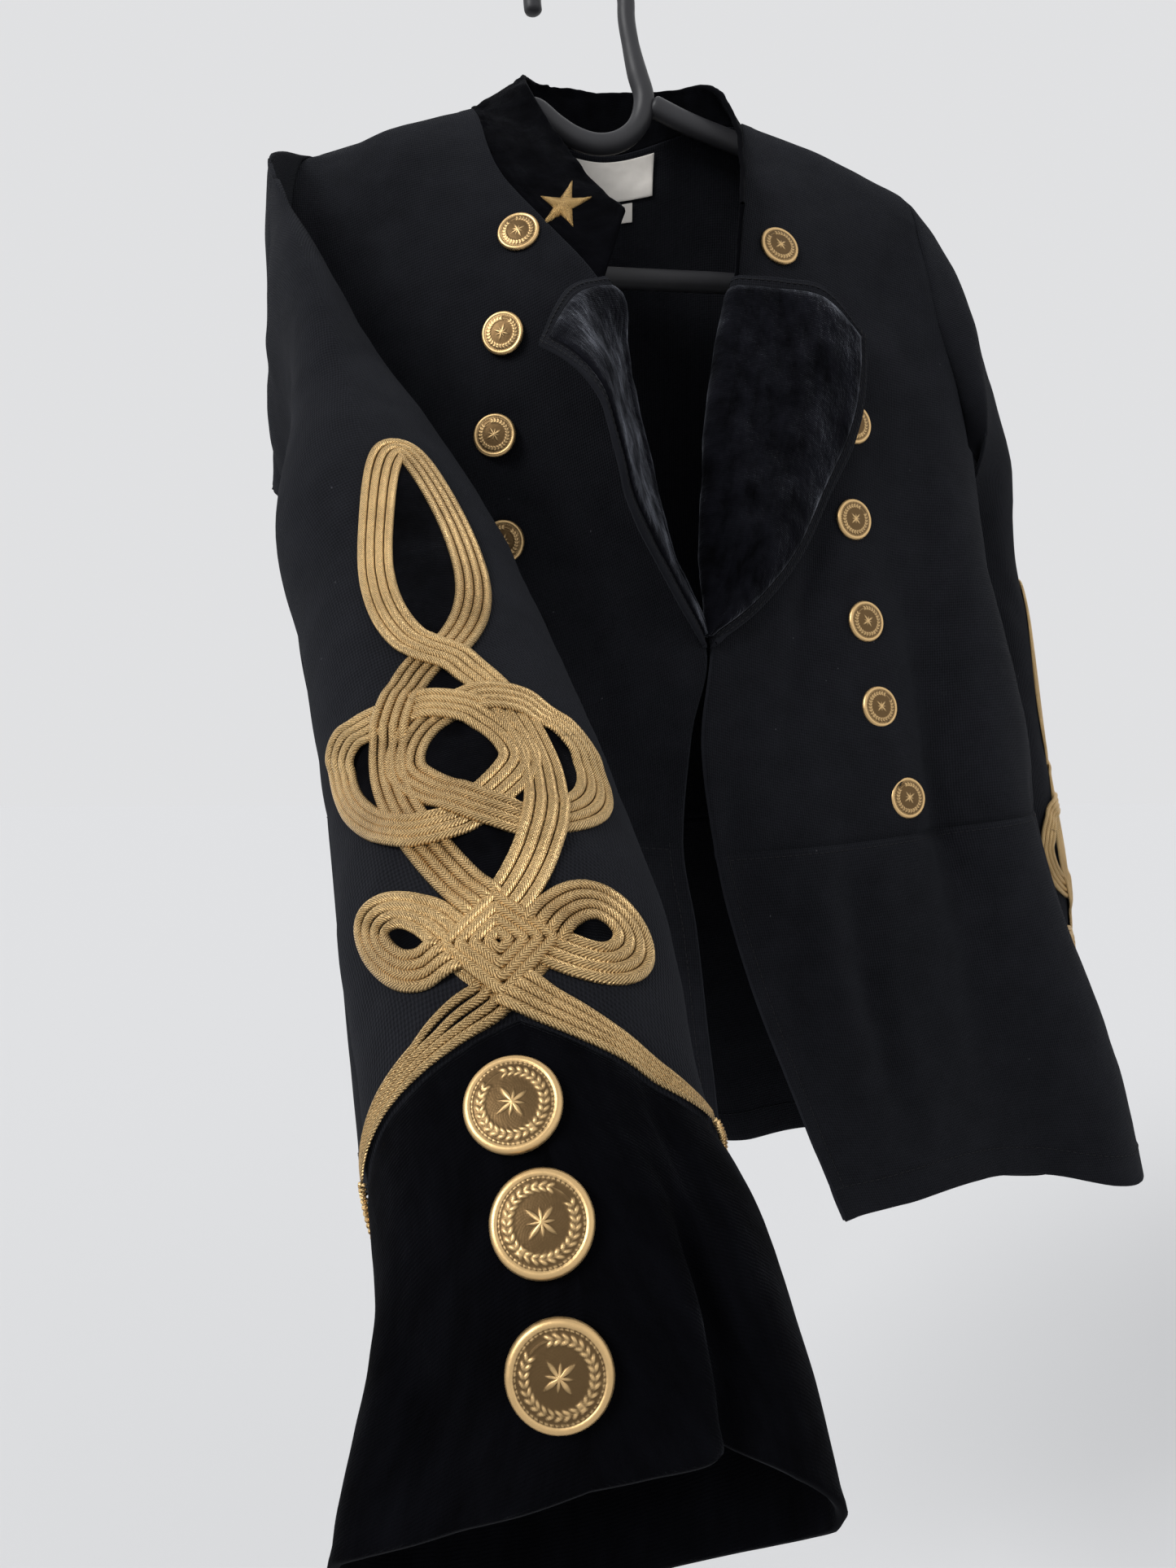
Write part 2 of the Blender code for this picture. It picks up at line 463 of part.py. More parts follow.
class Cloth:
    """The whole garment as one welded surface, of grids of points whose faces know their piece."""

    def __init__(self):
        self.points = []
        self.faces = []
        self.grids = {}
        self.places = {}

    def weld(self, point):
        key = tuple(int(round(c * 10)) for c in point)
        for dx in (0, -1, 1):
            for dy in (0, -1, 1):
                for dz in (0, -1, 1):
                    found = self.places.get((key[0] + dx, key[1] + dy, key[2] + dz))
                    if found is not None and np.linalg.norm(self.points[found] - point) < 0.05:
                        return found
        self.points.append(np.asarray(point, float))
        self.places[key] = len(self.points) - 1
        return len(self.points) - 1

    def patch(self, name, piece, grid, flip, closed=False):
        """Adds a grid of points as faces of a piece. A closed grid's columns run all round."""
        ids = [[self.weld(p) for p in row] for row in grid]
        if closed:
            ids = [row + row[:1] for row in ids]
        self.grids[name] = ids
        for upper, lower in zip(ids, ids[1:]):
            for j in range(len(upper) - 1):
                corners = [upper[j], upper[j + 1], lower[j + 1], lower[j]]
                corners = [c for n, c in enumerate(corners) if c not in corners[:n]]
                if len(corners) > 2:
                    self.faces.append((piece, corners[::-1] if flip else corners))

    def finish(self):
        """Works out the normals of the welded points."""
        self.points = np.array(self.points)
        self.normals = np.zeros_like(self.points)
        for _, ids in self.faces:
            ring = self.points[ids]
            area = sum(np.cross(ring[k] - ring[0], ring[k + 1] - ring[0]) for k in range(1, len(ids) - 1))
            for k in ids:
                self.normals[k] += area
        lengths = np.linalg.norm(self.normals, axis=1)
        self.normals /= lengths[:, None]

    def seams(self):
        """The pieces that meet at each point."""
        pieces = [set() for _ in self.points]
        for piece, ids in self.faces:
            for k in ids:
                pieces[k].add(piece)
        return pieces

    def wall(self, piece, thick):
        """The vertices and faces of one piece as a closed wall, drawn back from its neighbours."""
        faces = [ids for name, ids in self.faces if name == piece]
        shared = self.seams()
        edges = {}
        for ids in faces:
            for a, b in zip(ids, ids[1:] + ids[:1]):
                edges[(a, b)] = ids
        rim = [(a, b) for a, b in edges if (b, a) not in edges]
        used = sorted({k for ids in faces for k in ids})
        order = {k: n for n, k in enumerate(used)}
        place = {k: self.points[k].copy() for k in used}
        inward = {k: [] for k in used}
        for a, b in rim:
            along = self.points[b] - self.points[a]
            for k in (a, b):
                inward[k].append(unit(np.cross(self.normals[k], along)))
        for k, ways in inward.items():
            if ways and len(shared[k]) > 1:
                way = unit(sum(ways))
                place[k] += way * SEAM_GAP / 2 / max(0.4, float(np.dot(way, ways[0])))
        half = thick / 2
        verts = [place[k] + self.normals[k] * half for k in used]
        verts += [place[k] - self.normals[k] * half for k in used]
        count = len(used)
        solid = [[order[k] for k in ids] for ids in faces]
        solid += [[order[k] + count for k in reversed(ids)] for ids in faces]
        for a, b in rim:
            ring = [order[b], order[a], order[a] + count, order[b] + count]
            ring = ring if a < b else ring[1:] + ring[:1]
            solid += [ring[:2] + ring[3:], ring[1:]]
        return verts, solid

    def at(self, name, i, j):
        """The point and normal at a fractional place of a patch's grid."""
        ids = self.grids[name]
        i = min(max(i, 0), len(ids) - 1 - 1e-9)
        j = min(max(j, 0), len(ids[0]) - 1 - 1e-9)
        r, c = int(i), int(j)
        f, g = i - r, j - c
        corners = [ids[r][c], ids[r][c + 1], ids[r + 1][c], ids[r + 1][c + 1]]
        weights = [(1 - f) * (1 - g), (1 - f) * g, f * (1 - g), f * g]
        point = sum(w * self.points[k] for w, k in zip(weights, corners))
        normal = unit(sum(w * self.normals[k] for w, k in zip(weights, corners)))
        return point, normal


def body_grids():
    """The grids of the fronts and the back, shoulder to hem."""
    grids = {}
    for name, front, side in (("left", LEFT_FRONT, 1), ("right", RIGHT_FRONT, -1)):
        for part, rows in (("front", BODICE_ROWS), ("skirt", SKIRT_ROWS)):
            grids[f"{part}_{name}"] = [[front_point(front, side, c, r) for c in FRONT_COLUMNS] for r in rows]
    grids["back"] = [[back_point(c, r) for c in BACK_COLUMNS] for r in BODICE_ROWS]
    grids["back_skirt"] = [[back_point(c, r) for c in BACK_COLUMNS] for r in SKIRT_ROWS]
    return grids


def garment():
    """The garment's welded surface."""
    cloth = Cloth()
    grids = body_grids()
    last = len(ARMHOLE_ROWS)
    for name, side in (("left", 1), ("right", -1)):
        front = grids[f"front_{name}"]
        cloth.patch(f"front_{name}", f"front_{name}", front, flip=side > 0)
        cloth.patch(f"skirt_{name}", f"skirt_{name}", grids[f"skirt_{name}"], flip=side > 0)
    cloth.patch("back", "back", grids["back"], flip=False)
    cloth.patch("back_skirt", "back_skirt", grids["back_skirt"], flip=False)
    lapels = {"left": (LEFT_FRONT, 1, LEFT_LAPEL_TOP, LEFT_LAPEL_OUTER),
              "right": (RIGHT_FRONT, -1, RIGHT_LAPEL_TOP, RIGHT_LAPEL_OUTER)}
    for name, (front, side, top, outer) in lapels.items():
        spans = len(ROLL_ROWS) - 1
        flap = [flap_row(front, side, top, outer, i / spans) for i in range(spans + 1)]
        cloth.patch(f"lapel_{name}", f"front_{name}", flap, flip=side > 0)
    for name, sleeve, back_column in (("left", LEFT_ARM, -1), ("right", RIGHT_ARM, 0)):
        fore = [row[-1] for row in grids[f"front_{name}"][:last]]
        aft = [row[back_column] for row in grids["back"][:last]]
        grid = sleeve_grid(sleeve, fore + aft[-2:0:-1])
        flip = name == "right"
        cloth.patch(f"sleeve_{name}", f"sleeve_{name}", grid[:SLEEVE_SPANS + 1], flip, closed=True)
        cloth.patch(f"cuff_{name}", f"cuff_{name}", grid[SLEEVE_SPANS:], flip, closed=True)
    neck = [row[0] for row in grids["front_right"][:NECKLINE_SPANS + 1]][::-1]
    neck += grids["back"][0][FRONT_SPANS + 1:FRONT_SPANS + NECK_SPANS]
    neck += [row[0] for row in grids["front_left"][:NECKLINE_SPANS + 1]]
    count = len(neck) - 1
    collar = []
    for i in range(COLLAR_SPANS + 1):
        up = i / COLLAR_SPANS
        top = [column(COLLAR_TOP, ("x", "y", "z"), n / count) for n in range(count + 1)]
        collar.append([mix(p, t, up) for p, t in zip(neck, top)])
    cloth.patch("collar", "collar", collar, flip=True)
    cloth.finish()
    return cloth


def dress(name, finish):
    """A material of a finish."""
    found = bpy.data.materials.get(name) or bpy.data.materials.new(name)
    found.use_nodes = True
    shader = next(n for n in found.node_tree.nodes if n.type == "BSDF_PRINCIPLED")
    shader.inputs["Base Color"].default_value = finish.colour
    shader.inputs["Roughness"].default_value = finish.roughness
    shader.inputs["Metallic"].default_value = finish.metallic
    return found


def add(name, verts, faces, finish, soft=True):
    """A named object from millimetre points and faces."""
    mesh = bpy.data.meshes.new(name)
    mesh.from_pydata([Vector(v) * MM for v in verts], [], faces)
    mesh.update()
    if soft:
        mesh.shade_smooth()
        mesh.set_sharp_from_angle(angle=math.radians(50))
    mesh.materials.append(dress(f"{name}_finish", finish))
    found = bpy.data.objects.new(name, mesh)
    bpy.context.scene.collection.objects.link(found)
    return found


def clear_scene():
    for old in list(bpy.data.objects):
        bpy.data.objects.remove(old)


class Arm:
    """A smooth sleeve, measured: places on it are millimetres across and up from the cuff's point."""

    def __init__(self, sleeve, lean, tilt, lift):
        self.sleeve = sleeve
        self.lean = lean
        self.tilt = tilt
        self.lift = lift
        self.peak = cuff_edges(sleeve[2], 0)[0]
        self.levels = np.linspace(0.30, 0.96, 34)
        self.angles = np.linspace(-120, 120, 49)
        grid = np.array([[arm_point(sleeve, a, s) for a in self.angles] for s in self.levels])
        steps = np.linalg.norm(np.diff(grid, axis=1), axis=2)
        arcs = np.concatenate([np.zeros((len(self.levels), 1)), np.cumsum(steps, axis=1)], axis=1)
        self.arcs = arcs - arcs[:, 24:25]
        top = grid[:, 24]
        along = np.concatenate([[0.0], np.cumsum(np.linalg.norm(np.diff(top, axis=0), axis=1))])
        self.along = along - np.interp(self.peak, self.levels, along)

    def place(self, p, q):
        """Degrees round the arm and the share along it, for a place across and up from the cuff's point."""
        s = float(np.interp(-q, self.along, self.levels))
        p = p + np.interp(q, [k[0] for k in self.lean], [k[1] for k in self.lean])
        i = min(int(np.searchsorted(self.levels, s)), len(self.levels) - 1)
        f = (s - self.levels[i - 1]) / (self.levels[i] - self.levels[i - 1])
        arc = self.arcs[i - 1] * (1 - f) + self.arcs[i] * f
        return float(np.interp(p, arc, self.angles)), s

    def up(self, angle):
        """How far up from the cuff's point its edge lies, at an angle round the arm."""
        return -float(np.interp(cuff_edges(self.sleeve[2], angle)[0], self.levels, self.along))

    def surface(self, p, q):
        """The point and outward normal at a place."""
        return self.skin(*self.place(p, q))

    def skin(self, angle, s):
        point = arm_point(self.sleeve, angle, s)
        across = arm_point(self.sleeve, angle + 3, s) - arm_point(self.sleeve, angle - 3, s)
        along = arm_point(self.sleeve, angle, s + 0.01) - arm_point(self.sleeve, angle, s - 0.01)
        normal = unit(np.cross(across, along))
        centre = sleeve_frame(self.sleeve[0], self.sleeve[1], s)[0]
        return point, normal if np.dot(normal, point - centre) > 0 else -normal


def knot_bands(arm):
    """The middle lines of the knot's bands, as arrays of across, up and half the width."""
    turn = np.linspace(0, 2 * math.pi, 73)
    share = np.linspace(0, 1, 49)
    half = BRAID_WIDTH / 2
    bands = []
    for side in (-1, 1):
        wide = LOOP_HALF_WIDTH * np.sin(math.pi * share ** 0.75) ** 0.8
        bands.append((side * wide, UPPER_CROSSING + (LOOP_TOP - UPPER_CROSSING) * share, half))
        wide = OVAL_HALF_WIDTH * np.sin(math.pi * share).clip(0) ** 0.75
        bands.append((side * wide, UPPER_CROSSING + (LOWER_CROSSING - UPPER_CROSSING) * share, half))
        bands.append((side * RING_APART / 2 + RING_RADIUS * np.cos(turn),
                      RING_CENTRE + RING_RADIUS * np.sin(turn), half))
        bands.append((side * SIDE_LOOP_CENTRE + SIDE_LOOP_WIDE * np.cos(turn),
                      SQUARE_CENTRE + SIDE_LOOP_HIGH * np.sin(turn), half))
    bands = [(p, q + arm.tilt * (np.sqrt(p * p + 36) - p - 6) / 2, h) for p, q, h in bands]
    for side in (-1, 1):
        reach = side * LEG_REACH * share
        narrow = half + (LEG_END_WIDTH / 2 - half) * share
        edge = np.array([arm.up(arm.place(p, 0)[0]) for p in reach])
        bands.append((reach, edge + 1.0 + narrow, narrow))
    return [np.stack([p, q, np.broadcast_to(h, p.shape)], axis=1) for p, q, h in bands]


def knot_depth(arm):
    """How far inside the braid each place of a grid lies, with the grid's own lines."""
    across = np.arange(-LEG_REACH - 8, LEG_REACH + 8.1, KNOT_GRID)
    up = np.arange(-50, LOOP_TOP + 10, KNOT_GRID)
    p, q = np.meshgrid(across, up)
    deep = np.full(p.shape, -1e9)
    for band in knot_bands(arm):
        for a, b in zip(band, band[1:]):
            run = b[:2] - a[:2]
            t = ((p - a[0]) * run[0] + (q - a[1]) * run[1]) / max(run @ run, 1e-9)
            t = t.clip(0, 1)
            gap = np.hypot(p - a[0] - run[0] * t, q - a[1] - run[1] * t)
            deep = np.maximum(deep, a[2] + (b[2] - a[2]) * t - gap)
    high = np.abs(p) / SQUARE_HALF_WIDTH + np.abs(q - SQUARE_CENTRE) / SQUARE_HALF_HEIGHT
    return across, up, np.maximum(deep, (1 - high) * 11)


def outlines(across, up, deep, level):
    """The closed outlines of a grid's places deeper than a level, each one a list of across and up."""
    inside = deep > level
    links = {}

    def cross(i, j, di, dj):
        a, b = deep[i, j], deep[i + di, j + dj]
        t = min(max((level - a) / (b - a), 0.02), 0.98)
        step = across[1] - across[0]
        return (i, j, di, dj), (across[j] + dj * t * step, up[i] + di * t * step)

    places = {}
    for i in range(deep.shape[0] - 1):
        for j in range(deep.shape[1] - 1):
            corners = [(i, j), (i, j + 1), (i + 1, j + 1), (i + 1, j)]
            state = [inside[c] for c in corners]
            if all(state) or not any(state):
                continue
            ends = []
            for n in range(4):
                (i0, j0), (i1, j1) = corners[n], corners[(n + 1) % 4]
                if state[n] == state[(n + 1) % 4]:
                    continue
                low = min((i0, j0), (i1, j1))
                key, place = cross(*low, abs(i1 - i0), abs(j1 - j0))
                places[key] = place
                ends.append((key, state[n]))
            leave = [k for k, inner in ends if inner]
            enter = [k for k, inner in ends if not inner]
            if len(leave) == 2 and ends[0][1]:
                enter = enter[::-1]
            for a, b in zip(leave, enter):
                links[a] = b
    loops = []
    while links:
        first = next(iter(links))
        loop = [first]
        while links.get(loop[-1]) not in (None, first):
            loop.append(links.pop(loop[-1]))
        links.pop(loop[-1], None)
        loops.append([places[k] for k in loop])
    return [loop for loop in loops if len(loop) > 4]


def simpler(loop, tolerance):
    """A closed outline with the points left out that lie nearly on the line of the rest."""
    points = np.array(loop)
    far = int(np.argmax(np.linalg.norm(points - points[0], axis=1)))

    def thin(first, last):
        run = points[last % len(points)] - points[first]
        rest = points[first + 1:last]
        if len(rest) == 0:
            return []
        off = np.abs(run[0] * (rest[:, 1] - points[first][1]) - run[1] * (rest[:, 0] - points[first][0]))
        off /= max(np.linalg.norm(run), 1e-9)
        worst = int(np.argmax(off))
        if off[worst] < tolerance and last - first < 12:
            return []
        middle = first + 1 + worst
        return thin(first, middle) + [middle] + thin(middle, last)

    keep = [0] + thin(0, far) + [far] + thin(far, len(points))
    return [tuple(points[k]) for k in keep]


def area(loop):
    return sum(a[0] * b[1] - b[0] * a[1] for a, b in zip(loop, loop[1:] + loop[:1])) / 2


def plate(name, loops, surface, low, thick, finish):
    """A plate of a flat outline with holes, laid on a surface at a height over it."""
    points, edges = [], []
    bound = np.array([p for loop in loops for p in loop])
    for loop in loops:
        first = len(points)
        points += [Vector(p) for p in loop]
        edges += [(first + k, first + (k + 1) % len(loop)) for k in range(len(loop))]
    for p in PLATE_COLUMNS:
        for q in np.arange(bound[:, 1].min(), bound[:, 1].max(), PLATE_ROWS):
            clear = np.hypot(bound[:, 0] - p, bound[:, 1] - q).min() > 3
            if clear and sum(within((p, q), loop) for loop in loops) % 2:
                points.append(Vector((p, q)))
    flat, sides, tris, *_ = geometry.delaunay_2d_cdt(points, edges, [], 2, 1e-4)
    keep = []
    for tri in tris:
        middle = sum((flat[k] for k in tri), Vector((0, 0))) / len(tri)
        if sum(within(middle, loop) for loop in loops) % 2:
            keep.append(list(tri) if ccw(flat, tri) else list(tri)[::-1])
    laid = [surface(p.x, p.y) for p in flat]
    flipped = 1 if outward(laid, keep) else -1
    faces = [f[::flipped] for f in keep]
    count = len(flat)
    verts = [p + n * (low + thick) for p, n in laid] + [p + n * low for p, n in laid]
    used = {(a, b) for f in faces for a, b in zip(f, f[1:] + f[:1])}
    walls = [[b, a, a + count, b + count] for a, b in used if (b, a) not in used]
    add(name, verts, faces + [[k + count for k in reversed(f)] for f in faces] + walls, finish)


def within(point, loop):
    """Whether a flat point lies within a closed outline."""
    inside = False
    for a, b in zip(loop, loop[1:] + loop[:1]):
        if (a[1] > point[1]) != (b[1] > point[1]):
            inside ^= point[0] < a[0] + (point[1] - a[1]) / (b[1] - a[1]) * (b[0] - a[0])
    return inside


def ccw(flat, tri):
    a, b, c = (flat[k] for k in tri[:3])
    return (b - a).cross(c - a) > 0


def outward(laid, faces):
    """Whether faces turn their fronts the way the surface's normals point."""
    a, b, c = faces[0][:3]
    turn = np.cross(laid[b][0] - laid[a][0], laid[c][0] - laid[a][0])
    return float(np.dot(turn, laid[a][1])) > 0


def make_knot(name, arm):
    """A sleeve's knot, the velvet behind it, and the piping round the rest of the cuff's edge."""
    across, up, deep = knot_depth(arm)
    loops = [simpler(loop, KNOT_SMOOTHING) for loop in outlines(across, up, deep, 0.0)]
    low = JERSEY / 2 + arm.lift
    whole = [simpler(loop, 0.8) for loop in outer_only(outlines(across, up, deep, 2.0))]
    plate(f"knot_backing_{name}", whole, arm.surface, low, BACKING_THICK, BLACK_VELVET)
    plate(f"knot_{name}", loops, arm.surface, low + BACKING_THICK + arm.lift * 0.8, BRAID_THICK, GOLD_THREAD)


def outer_only(loops):
    """The large outlines that no other one holds."""
    return [a for a in loops if area(a) > 200 and not any(within(a[0], b) for b in loops if b is not a)]


def tube(name, path, radii, sides, finish):
    """A closed round rod along a path, its ends flat. The path is points; radii is one number for each."""
    path = [np.asarray(p, float) for p in path]
    verts, rings = [], []
    before = None
    for k, point in enumerate(path):
        ahead = unit(path[min(k + 1, len(path) - 1)] - path[max(k - 1, 0)])
        if before is None:
            before = np.array((0.0, 1.0, 0.0)) if abs(ahead[1]) < 0.9 else np.array((1.0, 0.0, 0.0))
        before = unit(before - np.dot(before, ahead) * ahead)
        other = np.cross(ahead, before)
        ring = []
        for n in range(sides):
            a = 2 * math.pi * n / sides
            ring.append(len(verts))
            verts.append(point + radii[k] * (before * math.cos(a) + other * math.sin(a)))
        rings.append(ring)
    faces = []
    for low, high in zip(rings, rings[1:]):
        faces += [[low[n], low[(n + 1) % sides], high[(n + 1) % sides], high[n]] for n in range(sides)]
    faces += [rings[0][::-1], rings[-1]]
    add(name, verts, faces, finish)


def slab(name, grid, low, thick, finish):
    """A plate over a grid of points and normals. A negative thickness lies on the back."""
    rows, count = len(grid), len(grid[0])
    laid = [place for row in grid for place in row]
    near = [p + n * low for p, n in laid]
    far = [p + n * (low + thick) for p, n in laid]
    faces = [[i * count + j, i * count + j + 1, (i + 1) * count + j + 1, (i + 1) * count + j]
             for i in range(rows - 1) for j in range(count - 1)]
    if outward(laid, faces) != (thick > 0):
        faces = [f[::-1] for f in faces]
    total = len(laid)
    used = {(a, b) for f in faces for a, b in zip(f, f[1:] + f[:1])}
    walls = [[b, a, a + total, b + total] for a, b in used if (b, a) not in used]
    add(name, far + near, faces + [[k + total for k in reversed(f)] for f in faces] + walls, finish)


def facing_grid(cloth, name):
    """Places of a lapel's velvet facing: inset from the flap's edges and led round the roll."""
    flap, front = f"lapel_{name}", f"front_{name}"
    last = len(cloth.grids[flap][0]) - 1
    first_row = BODICE_ROWS.index(NECK_POINT)
    grid = []
    for i in (0.3, 1, 2, 3, 4, 5, 6, 6.7, 7.0):
        points = [cloth.at(flap, i, j * 0.25)[0] for j in range(4 * last + 1)]
        run = np.concatenate([[0.0], np.cumsum([np.linalg.norm(b - a) for a, b in zip(points, points[1:])])])
        start = float(np.interp(LAPEL_BORDER, run, np.arange(len(run)) * 0.25))
        start = min(start, last - 2.6)
        stops = spread(start, last - 2, FLAP_SPANS) + [last - 1, last]
        row = [cloth.at(flap, i, j) for j in stops]
        row += [cloth.at(front, first_row + i, j) for j in (0.12, 0.3)]
        grid.append(row)
    return grid


def button(name, point, normal, surface_rise, finish):
    """A domed button with a raised rim, standing just clear of the cloth."""
    spin = unit(np.cross(normal, (0.0, 0.3, 1.0)))
    other = np.cross(normal, spin)
    radius, thick = BUTTON_DIAMETER / 2, BUTTON_THICK
    profile = [(radius * 0.90, 0.0), (radius, thick * 0.35), (radius * 0.94, thick * 0.75),
               (radius * 0.80, thick * 0.62)]
    base = point + normal * surface_rise
    verts, rings = [], []
    for r, h in profile:
        rings.append(list(range(len(verts), len(verts) + BUTTON_SIDES)))
        for n in range(BUTTON_SIDES):
            a = 2 * math.pi * n / BUTTON_SIDES
            verts.append(base + normal * h + r * (spin * math.cos(a) + other * math.sin(a)))
    verts.append(base + normal * thick)
    faces = [rings[0][::-1]]
    for low, high in zip(rings, rings[1:]):
        faces += [[low[n], low[(n + 1) % BUTTON_SIDES], high[(n + 1) % BUTTON_SIDES], high[n]]
                  for n in range(BUTTON_SIDES)]
    top = rings[-1]
    faces += [[top[n], top[(n + 1) % BUTTON_SIDES], len(verts) - 1] for n in range(BUTTON_SIDES)]
    add(name, verts, faces, finish)


def rise_over(point, normal, near):
    """How far a disc has to stand off a point so that its back clears the cloth round it."""
    high = [0.0]
    for way in (p - point for p in near):
        up = float(np.dot(way, normal))
        if np.linalg.norm(way - up * normal) < BUTTON_DIAMETER / 2 + 1 and abs(up) < 6:
            high.append(up)
    return max(high)


def make_front_buttons(cloth):
    for name, buttons in (("right", RIGHT_BUTTONS), ("left", LEFT_BUTTONS)):
        grid = f"front_{name}"
        for n, place in enumerate(buttons):
            i = float(np.interp(place.row, BODICE_ROWS, range(len(BODICE_ROWS))))
            j = place.across * FRONT_SPANS
            point, normal = cloth.at(grid, i, j)
            near = [cloth.at(grid, i + di, j + dj)[0] for di in np.arange(-1.2, 1.21, 0.2)
                    for dj in np.arange(-1.2, 1.21, 0.2)]
            rise = JERSEY / 2 + 0.3 + rise_over(point, normal, near)
            button(f"button_{name}_{n + 1}", point, normal, rise, BRASS)


def make_cuff_buttons(arm, name, places):
    middle = arm.place(0, 0)[0]
    for n, s in enumerate(places):
        point, normal = arm.skin(middle, s)
        near = [arm.skin(middle + a, s + ds)[0]
                for a in range(-18, 19, 6) for ds in np.arange(-0.02, 0.021, 0.01)]
        rise = VELVET / 2 + 0.3 + rise_over(point, normal, near)
        button(f"cuff_button_{name}_{n + 1}", point, normal, rise, BRASS)


def make_piping(arm, name):
    """The gold cord round the rest of a cuff's upper edge, from one leg of the knot to the other."""
    ends = [arm.place(side * (LEG_REACH + 3.5), 0)[0] for side in (1, -1)]
    path = []
    for k in range(19):
        angle = ends[0] + (360 + ends[1] - ends[0]) * k / 18
        s = cuff_edges(arm.sleeve[2], angle)[0] - (PIPING_RADIUS + 0.8) / SLEEVE_LENGTH
        point, normal = arm.skin(angle, s)
        path.append(point + normal * (JERSEY / 2 + 1.0 + PIPING_RADIUS))
    tube(f"cuff_piping_{name}", path, [PIPING_RADIUS] * len(path), 6, GOLD_THREAD)


def make_star(cloth, name, i, j, turn, lift):
    """A five-pointed star of gold thread on the collar."""
    point, normal = cloth.at("collar", i, j)
    spin = unit(np.cross(normal, (0.0, 0.0, 1.0)))
    other = np.cross(spin, normal)
    low = VELVET / 2 + lift
    ring = []
    for n in range(10):
        r = STAR_RADIUS if n % 2 == 0 else STAR_RADIUS * 0.42
        a = math.radians(turn + 90 + 36 * n)
        ring.append(point + r * (spin * math.cos(a) + other * math.sin(a)))
    near = [cloth.at("collar", i + di, j + dj)[0] for di in np.arange(-1, 1.01, 0.25)
            for dj in np.arange(-1, 1.01, 0.25)]
    low += rise_over(point, normal, near)
    verts = [p + normal * (low + STAR_THICK * 0.5) for p in ring] + [p + normal * low for p in ring]
    verts += [point + normal * (low + STAR_THICK), point + normal * low]
    faces = [[n, (n + 1) % 10, 20] for n in range(10)] + [[(n + 1) % 10 + 10, n + 10, 21] for n in range(10)]
    faces += [[(n + 1) % 10, n, n + 10, (n + 1) % 10 + 10] for n in range(10)]
    if np.dot(np.cross(ring[2] - ring[0], ring[4] - ring[0]), normal) < 0:
        faces = [f[::-1] for f in faces]
    add(f"star_{name}", verts, faces, GOLD_THREAD)


def make_labels():
    """The neck label and the small tab under it, on the inner face of the back."""
    labels = (("neck_label", (-0.12, 0.19), (0.22, 1.28)), ("size_tab", (0.05, 0.12), (1.34, 1.62)))
    for name, columns, rows in labels:
        grid = []
        for row in spread(*rows, 3):
            line = []
            for across in spread(*columns, 6):
                point = back_point(across, row)
                a, b = back_point(across + 0.02, row), back_point(across, row + 0.05)
                normal = unit(np.cross(a - point, b - point))
                line.append((point, normal if normal[1] < 0 else -normal))
            grid.append(line)
        slab(name, grid, JERSEY / 2 + 1.2, LABEL_THICK, CREAM)


def make_hanger():
    """The hanger: one rod from the hook's tip down to the neck and out to the left end, one for the rest."""
    centre = np.array((0.0, 0.0, -HOOK_INSIDE))
    bend = HOOK_INSIDE + HOOK_RADIUS
    hook = [centre + bend * np.array((math.cos(a), 0.0, math.sin(a)))
            for a in np.radians(np.linspace(193, -8, 15))]
    neck = ((30, 0, -45), (34, 0, -62), (38, 0, -76), (34, 0, -92), (24, 0, -101), (11, 0, -104),
            (-2, 0, -101), (-14, 0, -94), (-27, 0, -85))
    path = hook + [np.array(p, float) for p in neck]
    path += [np.array(p, float) for p in RIGHT_ROD]
    radii = [HOOK_RADIUS] * 16 + [ROD_RADIUS] * (len(path) - 16)
    tube("hanger_hook", path, radii, ROD_SIDES, BLACK_PLASTIC)
    tube("hanger_bar", LEFT_ROD, [ROD_RADIUS] * len(LEFT_ROD), ROD_SIDES, BLACK_PLASTIC)


def make_cloth(cloth):
    for piece in ("front_left", "front_right", "back", "skirt_left", "skirt_right", "back_skirt",
                  "sleeve_left", "sleeve_right"):
        add(piece, *cloth.wall(piece, JERSEY), BLACK_JERSEY)
    for piece in ("cuff_left", "cuff_right", "collar"):
        add(piece, *cloth.wall(piece, VELVET), BLACK_VELVET)


def main():
    clear_scene()
    cloth = garment()
    make_cloth(cloth)
    for name in ("left", "right"):
        low = -JERSEY / 2 - 4 * LAYER_GAP
        slab(f"lapel_facing_{name}", facing_grid(cloth, name), low, -FACING, BLACK_VELVET)
    make_front_buttons(cloth)
    right = Arm(RIGHT_ARM, RIGHT_LEAN, RIGHT_TILT, 1.1)
    left = Arm(LEFT_ARM, LEFT_LEAN, LEFT_TILT, 2.1)
    for arm, name, places in ((right, "right", RIGHT_CUFF_BUTTONS), (left, "left", LEFT_CUFF_BUTTONS)):
        make_knot(name, arm)
        make_piping(arm, name)
        make_cuff_buttons(arm, name, places)
    make_star(cloth, "right", 1.2, RIGHT_STAR, 12, 0.4)
    make_star(cloth, "left", 2.1, LEFT_STAR, 0, 1.9)
    make_labels()
    make_hanger()


main()
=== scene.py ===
"""The looks of a napoleon jacket of black jersey, hanging open on a plain hanger.

Sizes are millimetres in the jacket's own frame: +X to the wearer's left, -Y to the front, +Z up, with the
origin at the top of the hook. Left and right are the wearer's. Each class makes one part of the jacket.
"""
from __future__ import annotations

import json
import logging
import math
from dataclasses import dataclass, field
from enum import Enum
from typing import Iterable, Sequence

import bpy
import numpy as np
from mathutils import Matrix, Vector, noise

